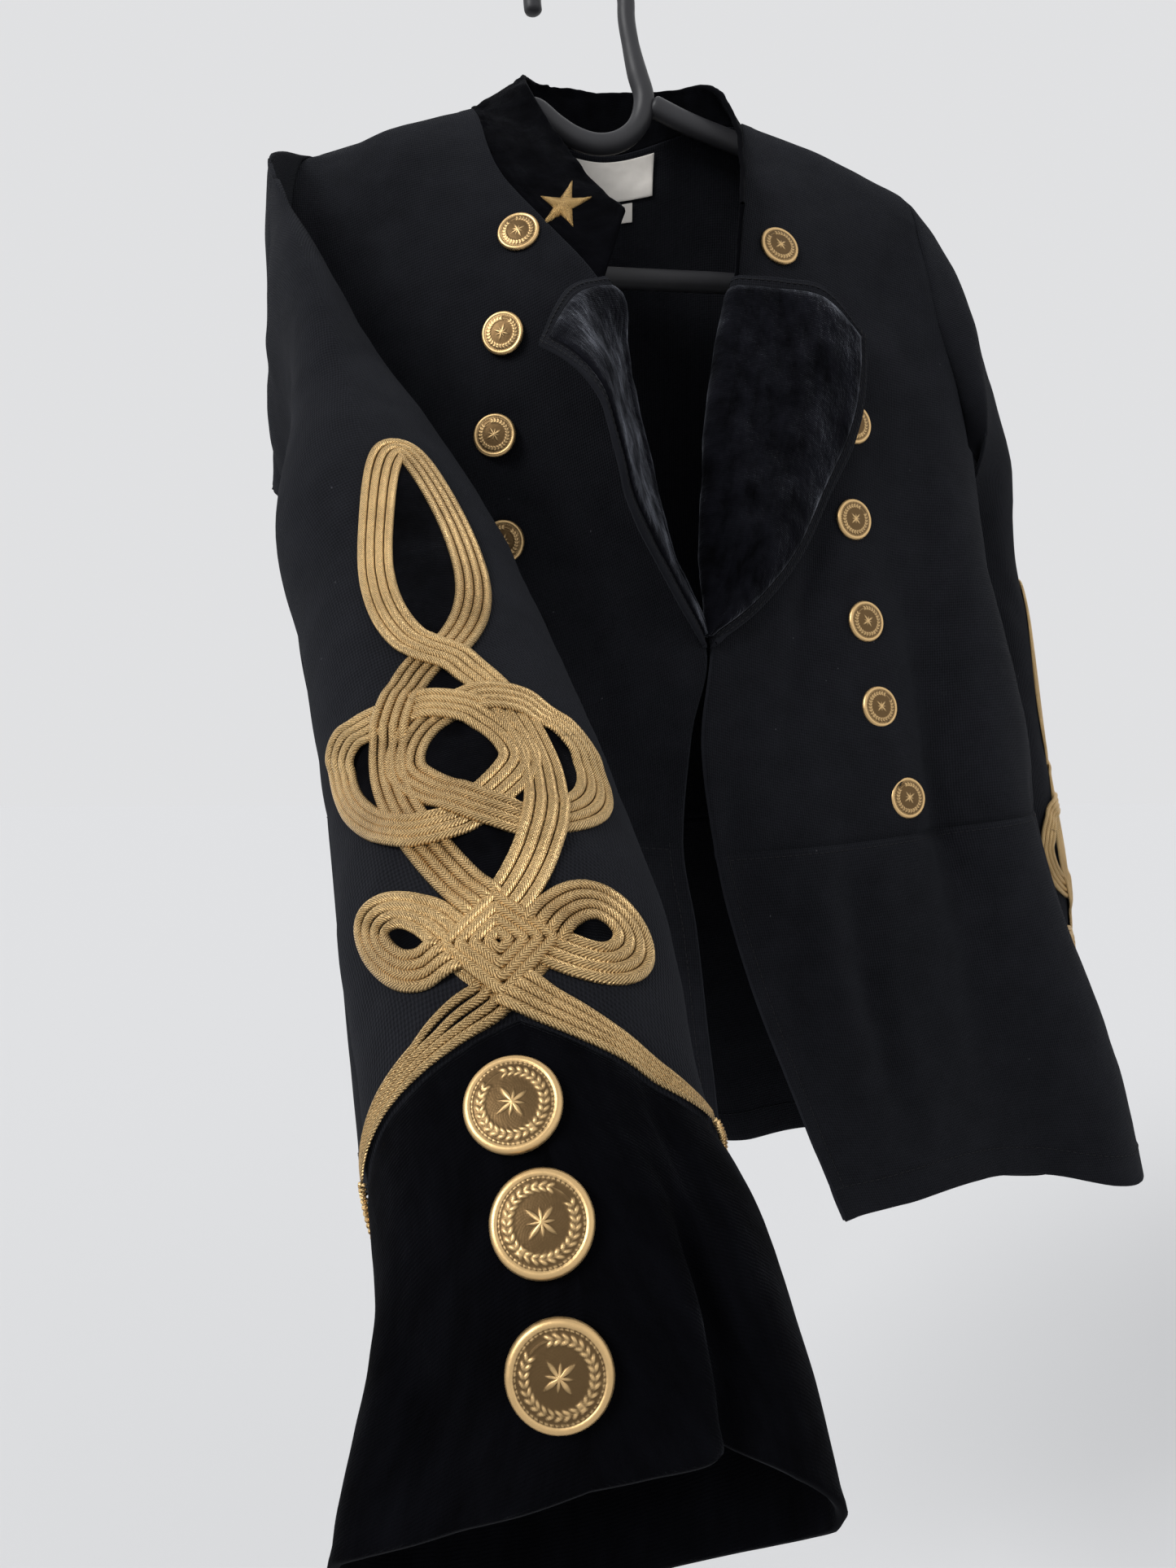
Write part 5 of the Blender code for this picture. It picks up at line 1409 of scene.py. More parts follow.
class Tailor:
    """Makes all the cloth of the jacket."""

    def __init__(self, wardrobe: Wardrobe) -> None:
        """Keeps the finishes and works out the patches.

        Args:
            wardrobe: the finishes.
        """
        self.wardrobe = wardrobe
        self.cloth = Cloth()
        self.front_columns = np.linspace(0, 1, 8 * FINE + 1)
        side = NECK + (1 - NECK) * np.linspace(0, 1, 6 * FINE + 1)
        self.back_columns = np.concatenate([-side[::-1], np.linspace(-NECK, NECK, 8 * FINE + 1)[1:-1], side])
        self.skirt_rows = spread(WAIST, HEM, 7 * FINE)
        self.lay_out()
        self.cloth.weld()

    def armhole(self, side: Side) -> Array:
        """The armhole's points, down its front and up its back.

        Args:
            side: which sleeve's.

        Returns:
            Points.
        """
        rows = bodice_rows(0, ARMHOLE_STEPS)
        fore = FRONTS[side].grid(rows, np.array([1.0]))[:, 0]
        aft = BACK.grid(rows, np.array([float(side.sign)]))[:, 0]
        return np.concatenate([fore, aft[-2:0:-1]])

    def lay_out(self) -> None:
        """Makes the patches of every piece."""
        last = len(COARSE_BODICE) - 1
        rows = bodice_rows(0, last)
        for side, front in FRONTS.items():
            flip = side is Side.LEFT
            panel = front.grid(rows, self.front_columns)
            skirt = front.grid(self.skirt_rows, self.front_columns)
            alongs = (bodice_rows(LAPEL_STEP, BREAK_STEP) - NECK_POINT) / (BREAK - NECK_POINT)
            self.cloth.add(Patch(f"front_{side}", panel, flip, seams="tbr"))
            self.cloth.add(Patch(f"skirt_{side}", skirt, flip, seams="tr"))
            self.cloth.add(Patch(f"lapel_{side}", front.flap(alongs, 40), flip, seams="r"))
            sleeve, cuff = ARMS[side].grid(self.armhole(side), FINE, 16 * FINE, 6 * FINE)
            turned = side is Side.RIGHT
            self.cloth.add(Patch(f"sleeve_{side}", sleeve, turned, True, "tb"))
            self.cloth.add(Patch(f"cuff_{side}", cuff, turned, True, "t"))
        self.cloth.add(Patch("back", BACK.grid(rows, self.back_columns), False, seams="tblr"))
        self.cloth.add(Patch("back_skirt", BACK.grid(self.skirt_rows, self.back_columns), False, seams="tlr"))
        self.cloth.add(Patch("collar", self.collar_grid(), True, seams="t"))

    def collar_grid(self) -> Array:
        """The stand collar, from the neckline up to its top edge.

        Returns:
            Rows of points.
        """
        top = np.array(((0.0, 15, -84, -184), (0.10, 0, -66, -160), (0.20, -16, -42, -124),
                        (0.29, -33, -12, -76), (0.37, -22, 16, -62), (0.50, 17, 27, -58),
                        (0.63, 58, 17, -60), (0.71, 76, -6, -70), (0.80, 84, -34, -106),
                        (0.90, 82, -58, -146), (1.0, 78, -76, -173)))
        rows = bodice_rows(0, LAPEL_STEP)
        right = RIGHT_FRONT.grid(rows, np.array([0.0]))[:, 0][::-1]
        left = LEFT_FRONT.grid(rows, np.array([0.0]))[:, 0]
        middle = BACK.line(0.0, np.linspace(-NECK, NECK, 8 * FINE + 1))[1:-1]
        neck = np.concatenate([right, middle, left])
        share = np.linspace(0, 1, len(neck))
        edge = Spline(top[:, 0], top[:, 1:])(share)
        return np.array([mix(neck, edge, up) for up in np.linspace(0, 1, 25)])

    def get(self, name: str) -> Patch:
        """One of the patches."""
        return self.cloth.patches[name]

    def sink_seams(self) -> None:
        """Draws the cloth in a little along its seams."""
        for patch in self.cloth.patches.values():
            for edge in patch.seams:
                depth = 0.2 if patch.name.startswith("lapel") else 0.9
                patch.shift -= depth * bell(patch.from_edge(edge), 2.4)

    def settle_folds(self) -> None:
        """Hangs the larger creases and the soft unevenness of the cloth."""
        for name, patch in self.cloth.patches.items():
            calm = 1.0
            for edge in patch.seams:
                calm = calm * (1 - bell(patch.from_edge(edge), 12.0))
            if name.startswith(("cuff", "lapel")):
                amount, size = 0.5, 26.0
            elif name == "collar":
                amount, size = 0.9, 18.0
            else:
                amount, size = 0.9, 42.0
            patch.shift = patch.shift + calm * amount * fractal(patch.grid, size, 3.7)
        for names, creases in CREASES:
            for crease in creases:
                for name in names:
                    crease.apply(self.get(name))
        collar = self.get("collar")
        near_top = bell(collar.from_edge("b"), 9.0)
        near_seam = bell(collar.from_edge("t") - 5.0, 6.0)
        rightward = np.clip((20 - collar.grid[..., 0]) / 40, 0, 1)
        run = collar.from_edge("l")
        gathers = np.sin(run * 1.15 + 2.2 * np.sin(run * 0.13)) * (0.6 + 0.4 * np.sin(run * 0.37))
        collar.shift = collar.shift + near_top * (0.6 + 1.6 * rightward) * fractal(collar.grid, 9.0, 11.0)
        collar.shift = collar.shift + 1.3 * rightward * near_seam * gathers

    def declare(self, piece: bpy.types.Object, *names: str) -> None:
        """Works out the cut of a piece's patches, and keeps nothing of it.

        Args:
            piece: not used.
            names: its patches.
        """
        cuts = [self.get(name).cut() for name in names]

    def hang(self, piece: bpy.types.Object, node: str, *names: str) -> None:
        """Hangs a piece of cloth, made of one patch named like its solid or of the named ones."""
        settle(piece, node, node)
        self.declare(piece, *(names or (node,)))

    @staticmethod
    def hem_thickness(patch: Patch, edge: str, deep: float, extra: float, base: float) -> Array:
        """The thickness of a sheet with a hem turned up at an edge."""
        gap = patch.from_edge(edge)
        return base + extra * fade(gap, deep, 0.5)

    def make_panels(self) -> None:
        """The fronts with their lapels, the back and the skirts."""
        cloths = (self.wardrobe.jersey, self.wardrobe.inside)
        for side in Side:
            front, lapel, skirt = (self.get(f"{part}_{side}") for part in ("front", "lapel", "skirt"))
            mesh = Mesh()
            sheet_mesh(mesh, front, self.hem_thickness(front, "l", 7.0, 0.7, JERSEY), 0, 1, "l")
            sheet_mesh(mesh, lapel, self.hem_thickness(lapel, "l", 5.5, 0.6, JERSEY), 0, 0, "lt")
            self.hang(mesh.build(f"jersey_{front.name}", *cloths), front.name, front.name, lapel.name)
            mesh = Mesh()
            thick = self.hem_thickness(skirt, "b", *HEM_SIZE, JERSEY)
            thick = thick + self.hem_thickness(skirt, "l", 7.0, 0.7, 0.0)
            sheet_mesh(mesh, skirt, thick, 0, 1, "bl")
            self.hang(mesh.build(f"jersey_{skirt.name}", *cloths), skirt.name)
        mesh = Mesh()
        sheet_mesh(mesh, self.get("back"), JERSEY, 0, 1)
        self.hang(mesh.build("jersey_back", *cloths), "back")
        mesh = Mesh()
        skirt = self.get("back_skirt")
        sheet_mesh(mesh, skirt, self.hem_thickness(skirt, "b", *HEM_SIZE, JERSEY), 0, 1, "b")
        self.hang(mesh.build("jersey_back_skirt", *cloths), "back_skirt")

    def make_sleeves(self) -> None:
        """The sleeves and their velvet cuffs."""
        cloths = (self.wardrobe.jersey, self.wardrobe.inside)
        for side in Side:
            sleeve, cuff = self.get(f"sleeve_{side}"), self.get(f"cuff_{side}")
            mesh = Mesh()
            sheet_mesh(mesh, sleeve, JERSEY, 0, 1)
            self.hang(mesh.build(f"jersey_{sleeve.name}", *cloths), sleeve.name)
            mesh = Mesh()
            sheet_mesh(mesh, cuff, self.hem_thickness(cuff, "b", 3.0, 0.8, VELVET), 0, 0, "b")
            self.hang(mesh.build(f"velvet_{cuff.name}", self.wardrobe.velvet), cuff.name)

    def make_collar(self) -> None:
        """The stand collar."""
        collar = self.get("collar")
        mesh = Mesh()
        sheet_mesh(mesh, collar, self.hem_thickness(collar, "b", 3.0, 0.9, VELVET), 0, 0, "blr")
        self.hang(mesh.build("velvet_collar", self.wardrobe.velvet), "collar")

    def facing_patch(self, side: Side, border: float = 6.0) -> Patch:
        """A lapel's velvet facing, inset from the flap's edge and led round the roll.

        Args:
            side: which lapel's.
            border: millimetres of jersey left bare at its edge.

        Returns:
            The patch.
        """
        lapel, front = self.get(f"lapel_{side}"), self.get(f"front_{side}")
        columns, front_columns = range(lapel.grid.shape[1]), range(front.grid.shape[1])
        last = columns[-1]
        beyond_roll = FINE * np.array((0.04, 0.08, 0.12, 0.18, 0.24, 0.30))
        grid, normals, shift = [], [], []
        for i in range(int(0.3 * FINE), int(7.75 * FINE) + 1):
            start = min(float(np.interp(border, run_along(lapel.grid[i]), columns)), last - 11.0)
            at = np.concatenate([np.linspace(start, last - 5, 36), np.linspace(last - 5, last, 8)[1:]])
            inside = LAPEL_STEP * FINE + i
            line, ways = (read_along(at, columns, source[i]) for source in (lapel.grid, lapel.normals))
            more, more_ways = (read_along(beyond_roll, front_columns, source[inside])
                               for source in (front.grid, front.normals))
            lift = np.interp(at, columns, lapel.shift[i])
            more_lift = np.interp(beyond_roll, front_columns, front.shift[inside])
            grid.append(np.concatenate([line, more]))
            normals.append(unit(np.concatenate([ways, more_ways])))
            shift.append(np.concatenate([lift, more_lift]))
        patch = Patch(f"facing_{side}", np.array(grid), lapel.flip)
        patch.normals, patch.shift = np.array(normals), np.array(shift)
        return patch

    def make_facings(self) -> None:
        """The velvet facings of the lapels."""
        for side in Side:
            patch = self.facing_patch(side)
            rounded = 1.0
            for edge in "lt":
                rounded = rounded * np.minimum(1.0, patch.from_edge(edge) / 2.5) ** 0.5
            rumple = 0.9 * fractal(patch.grid * np.array((1.0, 1.0, 0.55)), 15.0, 5.0)
            rumple = rumple + 1.5 * fractal(patch.grid * np.array((1.0, 1.0, 0.7)), 34.0, 8.0)
            patch.shift = patch.shift - 1.1 * rounded + rumple * np.minimum(1.0, patch.from_edge("l") / 12.0)
            self.cloth.patches[patch.name] = patch
            mesh = Mesh()
            sheet_mesh(mesh, patch, 1.2, 0, 0, "lt", lift=-JERSEY / 2 - 0.9)
            piece = mesh.build(f"velvet_{patch.name}", self.wardrobe.facing)
            self.hang(piece, f"lapel_{patch.name}", patch.name)

    def stitch_line(self, mesh: Mesh, patch: Patch, edge: str, inset: float, face: int, thick: float) -> None:
        """Adds a row of stitches along an edge of a patch.

        Args:
            mesh: what it is added to.
            patch: the cloth.
            edge: t, b, l or r.
            inset: millimetres from that edge.
            face: 1 for the outer face, -1 for the inner one.
            thick: millimetres from the cloth's middle to that face.
        """
        parts = [patch.from_edge(edge), patch.grid, patch.normals, patch.shift]
        if edge in "tb":
            parts = [np.swapaxes(part, 0, 1) for part in parts]
        points, normals = [], []
        for row, line, way, lift in zip(*parts):
            order = np.argsort(row)
            run = row[order]
            if run[-1] < inset * 1.5:
                continue
            point = read_along([inset], run, line[order])[0]
            normal = unit(read_along([inset], run, way[order])[0])
            rise = float(np.interp(inset, run, lift[order]))
            points.append(point + normal * (rise + face * thick))
            normals.append(normal * face)
        threads(mesh, np.array(points), np.array(normals))

    def make_stitching(self) -> None:
        """The rows of topstitching along the lapels, the front edges and the hems."""
        for side in Side:
            lapel, skirt = (self.get(f"{part}_{side}") for part in ("lapel", "skirt"))
            mesh = Mesh()
            for inset in (1.6, 4.6):
                self.stitch_line(mesh, lapel, "l", inset, -1, 1.35)
            self.stitch_line(mesh, lapel, "t", 2.2, -1, 1.35)
            settle(mesh.build(f"lapel_stitching_{side}", self.wardrobe.thread), f"front_{side}")
            mesh = Mesh()
            self.stitch_line(mesh, skirt, "b", 17.0, 1, 1.45)
            self.stitch_line(mesh, skirt, "l", 6.4, 1, 1.4)
            self.stitch_line(mesh, skirt, "t", 3.4, 1, 1.05)
            settle(mesh.build(f"skirt_stitching_{side}", self.wardrobe.thread), f"skirt_{side}")
        mesh = Mesh()
        for face in (1, -1):
            self.stitch_line(mesh, self.get("back_skirt"), "b", 17.0, face, 1.45)
        settle(mesh.build("back_hem_stitching", self.wardrobe.thread), "back_skirt")

    def make(self) -> None:
        """Makes every piece of cloth."""
        self.sink_seams()
        self.settle_folds()
        self.make_panels()
        self.make_sleeves()
        self.make_collar()
        self.make_facings()
        self.make_stitching()


CREASES: tuple[tuple[tuple[str, ...], tuple[Crease, ...]], ...] = (
    (("sleeve_right",), (
        Crease(((-166, -30, -215), (-160, -75, -262), (-146, -120, -312), (-128, -160, -372)), 3.0, 10.0),
        Crease(((-150, -60, -200), (-138, -110, -252), (-112, -150, -312)), -2.2, 9.0),
        Crease(((-60, -230, -398), (-38, -262, -440), (-28, -300, -470)), 1.8, 9.0),
        Crease(((-100, -330, -560), (-92, -352, -575), (-80, -368, -592)), 1.6, 7.0),
    )),
    (("sleeve_right", "cuff_right"), (
        Crease(((-98, -300, -545), (-100, -330, -590), (-97, -355, -628)), -2.0, 8.0),
    )),
    (("cuff_right",), (
        Crease(((-29, -400, -548), (-22, -408, -566), (-15, -414, -582), (-10, -417, -596),
                (-7, -421, -612)), -2.4, 3.5),
        Crease(((-23, -402, -553), (-16, -407, -567), (-12, -411, -579), (-5, -417, -594)), 1.8, 3.0),
        Crease(((-81, -410, -590), (-75, -415, -602), (-68, -420, -616)), -1.8, 5.0),
        Crease(((-60, -413, -566), (-63, -418, -583), (-66, -420, -602)), 1.0, 4.5),
        Crease(((-2, -378, -560), (6, -392, -590), (10, -402, -618)), 2.0, 5.0),
        Crease(((-72, -396, -580), (-82, -408, -612), (-92, -412, -642)), 1.6, 7.0),
        Crease(((-58, -400, -590), (-64, -420, -618), (-70, -428, -640)), -1.4, 7.0),
    )),
    (("front_left", "skirt_left"), (
        Crease(((125, -70, -330), (119, -66, -361), (112, -70, -400), (108, -72, -431),
                (98, -78, -500)), -5.5, 9.0),
        Crease(((236, -49, -492), (200, -56, -500), (164, -66, -504), (120, -76, -508)), -1.6, 5.0),
        Crease(((174, -58, -280), (176, -60, -350), (194, -52, -408), (202, -48, -500), (214, -44, -600),
                (232, -38, -700)), -12.0, 16.0),
        Crease(((150, -60, -300), (154, -64, -360), (160, -66, -430), (168, -66, -520)), 3.5, 15.0),
        Crease(((112, -76, -470), (122, -80, -560), (150, -80, -650)), 4.0, 15.0),
        Crease(((136, -74, -500), (146, -76, -580), (176, -74, -680)), -6.0, 11.0),
        Crease(((226, -38, -430), (240, -36, -520), (272, -30, -640)), 5.0, 13.0),
        Crease(((262, -20, -460), (276, -18, -560), (300, -14, -670)), -7.0, 12.0),
        Crease(((104, -78, -540), (110, -80, -600), (132, -80, -690)), -4.0, 9.0),
        Crease(((188, -30, -150), (176, -42, -190), (160, -50, -230)), -4.5, 10.0),
        Crease(((82, -78, -420), (74, -80, -500), (86, -80, -580)), -2.4, 8.0),
    )),
    (("front_right", "skirt_right"), (
        Crease(((-60, -60, -280), (-20, -72, -330), (20, -80, -380)), -6.0, 13.0),
        Crease(((-30, -66, -300), (0, -74, -350), (40, -80, -420)), 3.5, 12.0),
        Crease(((10, -76, -430), (14, -78, -500), (20, -76, -600)), -5.5, 12.0),
        Crease(((-110, -30, -150), (-118, -34, -190), (-120, -40, -240)), -2.0, 12.0),
    )),
    (("back", "back_skirt"), (
        Crease(((-60, 44, -200), (-20, 46, -300), (10, 44, -420), (20, 46, -560)), -3.0, 16.0),
        Crease(((90, 44, -180), (80, 46, -300), (90, 42, -430), (120, 48, -600)), 3.0, 16.0),
        Crease(((160, 40, -260), (170, 40, -380), (190, 42, -520)), -3.0, 14.0),
        Crease(((-110, 40, -260), (-100, 40, -380), (-96, 44, -520)), 2.5, 13.0),
        Crease(((-120, 30, -170), (-40, 44, -190), (60, 46, -186), (160, 34, -172)), -1.6, 13.0),
    )),
    (("sleeve_left",), (
        Crease(((252, 20, -300), (276, 24, -350), (300, 40, -380)), -2.5, 9.0),
        Crease(((250, 30, -380), (276, 20, -420), (306, 40, -440)), 2.5, 10.0),
        Crease(((252, 90, -420), (270, 100, -470), (296, 96, -500)), -2.5, 10.0),
        Crease(((256, 30, -560), (280, 18, -600), (304, 36, -630)), -1.8, 9.0),
    )),
)


@dataclass
class Knot:
    """An Austrian knot of four-corded gold braid up the arm, on black velvet.

    Places are millimetres across and up from the cuff's point.
    """

    arm: Arm
    band: float = 13.0
    cords: int = 4
    cord_height: float = 1.55
    loop_top: float = 265.0
    upper: float = 146.0
    lower: float = 32.5
    loop_half: float = 16.5
    oval_half: float = 22.0
    ring_radius: float = 28.5
    ring_apart: float = 23.0
    ring_centre: float = 93.0
    square_middle: float = 22.0
    square_half: float = 17.5
    leg_reach: float = 52.0
    leg_end: float = 2.0
    floor: float = 1.55
    tall: float = 0.86
    bow: tuple[float, ...] = tuple(np.linspace(0, math.pi, 7))

    def half_strand(self, side: int) -> tuple[Array, Array]:
        """The strand's middle line from the loop's top down one side to a leg's end, and half its width.

        Args:
            side: 1 or -1.

        Returns:
            Points, and half the width at each.
        """
        share = 1 - np.linspace(0, 1, 81) ** 1.6
        wide = self.loop_half * np.sin(math.pi * share ** 0.75).clip(0) ** (0.95 - 0.45 * share)
        loop = np.stack([side * wide, self.upper + (self.loop_top - self.upper) * share], 1)
        share = np.linspace(0, 1, 61)
        wide = self.oval_half * np.sin(math.pi * share ** 0.92).clip(0) ** 0.78
        oval = np.stack([-side * wide, self.upper + (self.lower - self.upper) * share], 1)[1:]
        places = ((0, 32.5), (9, 22.5), (18, 16.8), (26.5, 15.4), (33.5, 20), (35.8, 27), (32, 33.6),
                  (25, 36.4), (17.5, 33.2), (11.5, 25.5), (6, 17), (0, 11))
        last = len(places) - 1
        turns = Spline(range(last + 1), places)
        side_loop = turns(np.linspace(0, last, 8 * last + 1))[1:] * np.array((side, 1))
        reach = np.linspace(0.06, 1.0, 31)
        across = -side * self.leg_reach * reach
        narrow = self.band / 2 + (self.leg_end - self.band / 2) * reach ** 0.8
        leg = np.stack([across, self.arm.rise(across) + 0.8 + narrow], 1)
        points = np.concatenate([loop, oval, side_loop, leg])
        half = np.concatenate([np.full(len(points) - len(leg), self.band / 2), narrow])
        return points, half

    def strand(self) -> tuple[Array, Array]:
        """The middle line of the whole strand, from the end of one leg to the end of the other.

        Returns:
            Points, and half the width at each.
        """
        one, one_half = self.half_strand(-1)
        other, other_half = self.half_strand(1)
        return np.concatenate([one[::-1], other[1:]]), np.concatenate([one_half[::-1], other_half[1:]])

    def ring(self, side: int) -> tuple[Array, Array]:
        """The middle line of one of the two linked rings, and half its width.

        Args:
            side: 1 or -1.

        Returns:
            Points, and half the width at each.
        """
        turn = np.linspace(0, 2 * math.pi, 121) + (0.5 if side > 0 else math.pi - 0.5)
        low = np.clip(-np.sin(turn), 0, 1) * np.clip(-side * np.cos(turn), 0, 1)
        points = np.stack([side * self.ring_apart / 2 + self.ring_radius * (1 - 0.38 * low) * np.cos(turn),
                           self.ring_centre + self.ring_radius * (1 - 0.38 * low) * np.sin(turn)], 1)
        return points, np.full(len(points), self.band / 2)

    def tilted(self, points: Array) -> Array:
        """Lets the half towards the arm's back ride up, but not the legs on the cuff's edge.

        Args:
            points: places across and up.

        Returns:
            The moved places.
        """
        p = points[:, 0]
        share = np.clip((points[:, 1] - 1) / 6, 0, 1)
        out = points.copy()
        slope = self.arm.tilt * (np.sqrt(p * p + 36) - p - 6) / 2
        out[:, 1] += share * (slope + 0.4 * self.arm.tilt * np.clip(-p - 18, 0, None) ** 1.5)
        return out

    @staticmethod
    def even(points: Array, half: Array, step: float) -> tuple[Array, Array]:
        """The same line, with points a step apart and its corners rounded.

        Args:
            points: the line.
            half: half its width at each point.
            step: millimetres.

        Returns:
            The new points, and half the width at each.
        """
        run = run_along(points)
        keep = np.concatenate([[True], np.diff(run) > 1e-6])
        points, half, run = points[keep], half[keep], run[keep]
        at = np.linspace(0, run[-1], int(run[-1] / step) + 1)
        line = read_along(at, run, points)
        smooth(line, 4)
        return line, np.interp(at, run, half)

    def lines(self, step: float = 1.5) -> list[tuple[Array, Array, bool]]:
        """All the middle lines, evenly cut, with half widths and whether they close.

        Args:
            step: millimetres between points.

        Returns:
            Points, half widths and whether it closes, for each.
        """
        out = [(*self.even(*self.strand(), step), False)]
        for side in (1, -1):
            out.append((*self.even(*self.ring(side), step), True))
        return out

    def in_square(self, line: Array) -> Array:
        """1 for places well inside the square of diamonds, 0 for those outside it.

        Args:
            line: places across and up.

        Returns:
            A value for each place.
        """
        far = (np.abs(line[:, 0]) / (self.tall * self.square_half)
               + np.abs(line[:, 1] - self.square_middle) / self.square_half)
        return fade(far, 0.93, 0.03)

    @staticmethod
    def crossings(lines: list[tuple[Array, Array, bool]]) -> list[list[tuple[int, bool]]]:
        """Where each line crosses others, and whether it passes over there, turn and turn about.

        Points of one line that are fewer than apart steps from each other don't count. Points nearer than
        touching millimetres are a crossing, and those within around steps of them belong to it.

        Args:
            lines: as lines gives them.

        Returns:
            For each line, its points that cross and whether over.
        """
        apart, touching, around = 16, 1.25, 7
        found: list[list[tuple[int, int]]] = [[] for _ in lines]
        pairs = []
        for a in range(len(lines)):
            for b in range(a, len(lines)):
                first, second = lines[a][0], lines[b][0]
                gap = np.linalg.norm(first[:, None] - second[None], axis=2)
                if a == b:
                    i, j = np.indices(gap.shape)
                    gap[np.abs(i - j) < apart] = FAR
                    gap[i > j] = FAR
                while True:
                    i, j = np.unravel_index(int(np.argmin(gap)), gap.shape)
                    if gap[i, j] > touching:
                        break
                    pairs.append((a, int(i), b, int(j)))
                    found[a].append((int(i), len(pairs) - 1))
                    found[b].append((int(j), len(pairs) - 1))
                    gap[max(0, i - around):i + around + 1, max(0, j - around):j + around + 1] = FAR
        over: dict[int, tuple[int, int]] = {}
        for a, places in enumerate(found):
            high = a % 2 == 0
            for index, pair in sorted(places):
                if pair in over:
                    high = over[pair] != (a, index)
                else:
                    other = pairs[pair][:2] if pairs[pair][2:] == (a, index) else pairs[pair][2:]
                    over[pair] = (a, index) if high else tuple(other)
                    high = not high
        return [[(index, over[pair] == (a, index)) for index, pair in sorted(places)]
                for a, places in enumerate(found)]

    def make_cords(self, mesh: Mesh) -> None:
        """Adds every cord of the braid.

        Args:
            mesh: what they are added to.
        """
        lines = self.lines()
        marks = self.crossings(lines)
        width = self.band / self.cords
        for (line, half, closed), places in zip(lines, marks):
            index = np.arange(len(line))
            lift = np.zeros(len(line))
            for at, high in places:
                gap = np.abs(index - at)
                if closed:
                    gap = np.minimum(gap, len(line) - gap)
                if high:
                    lift = np.maximum(lift, fade(gap, 6.6, 0.8))
            sunk = self.in_square(line)
            lift = lift * (1 - sunk) - 0.7 * sunk
            ahead = ahead_of(line, closed)
            normal = np.stack([-ahead[:, 1], ahead[:, 0]], 1)
            for cord in range(self.cords):
                offset = (cord - (self.cords - 1) / 2) * width * half / (self.band / 2)
                size = width * half / (self.band / 2)
                self.lay_cord(mesh, line + normal * offset[:, None], size, lift, closed)

    def lay_cord(self, mesh: Mesh, path: Array, size: Array, lift: Array, closed: bool) -> None:
        """Adds one cord along a flat path.

        Args:
            mesh: what it is added to.
            path: its middle line, across and up from the cuff's point.
            size: its width at each point.
            lift: how far it is raised there, as a share of its height.
            closed: whether it runs into its own start.
        """
        path = self.tilted(path)
        points, ups = self.arm.surface(path[:, 0], path[:, 1])
        points = points + ups * (self.floor + lift * self.cord_height * 0.95)[:, None]
        aside = unit(np.cross(ahead_of(points, closed), ups))
        run = run_along(points)
        rounds, count = len(self.bow), len(points)
        height = self.cord_height * np.minimum(1.0, size / (self.band / self.cords) + 0.15)
        ring = [points + aside * (0.505 * size * math.cos(a))[:, None] + ups * (height * math.sin(a))[:, None]
                for a in self.bow]
        across = [0.53 * math.cos(a) * self.band / self.cords * MM for a in self.bow]
        coords = []
        for i in range(count if closed else count - 1):
            v0, v1 = run[i] * MM, (run[i + 1] if i + 1 < count else run[i] + 1.6) * MM
            for m in range(rounds):
                w = (m + 1) % rounds
                coords += [(across[m], v0), (across[w], v0), (across[w], v1), (across[m], v1)]
        if not closed:
            coords += [(0.0, 0.0)] * (2 * rounds)
        mesh.extend(np.stack(ring, 1).reshape(-1, 3), tube_faces(count, rounds, closed), coords)

    def make_diamonds(self, mesh: Mesh) -> None:
        """Adds the small diamonds of cord nested in the square.

        Args:
            mesh: what they are added to.
        """
        width = self.band / self.cords
        for number in range(self.cords):
            size = self.square_half - 1.9 - 4.15 * number
            side = self.tall * size
            corners = np.array(((0, size), (side, 0), (0, -size), (-side, 0), (0, size)))
            line, _ = self.even(corners + (0, self.square_middle), np.full(5, 1.0), 0.8)
            line = line[:-1]
            self.lay_cord(mesh, line, np.full(len(line), width), np.full(len(line), 0.32), True)

    def depth(self, p: Array, q: Array) -> Array:
        """How far inside the braid flat places lie.

        Args:
            p: places across.
            q: places up.

        Returns:
            Millimetres, less than 0 outside.
        """
        deep = np.full(p.shape, -FAR)
        for line, half, _ in self.lines(4.0):
            line = self.tilted(line)
            for (a, b), wide in zip(zip(line, line[1:]), half):
                run = b - a
                t = np.clip(((p - a[0]) * run[0] + (q - a[1]) * run[1]) / max(float(run @ run), 1e-9), 0, 1)
                deep = np.maximum(deep, wide - np.hypot(p - a[0] - run[0] * t, q - a[1] - run[1] * t))
        return deep

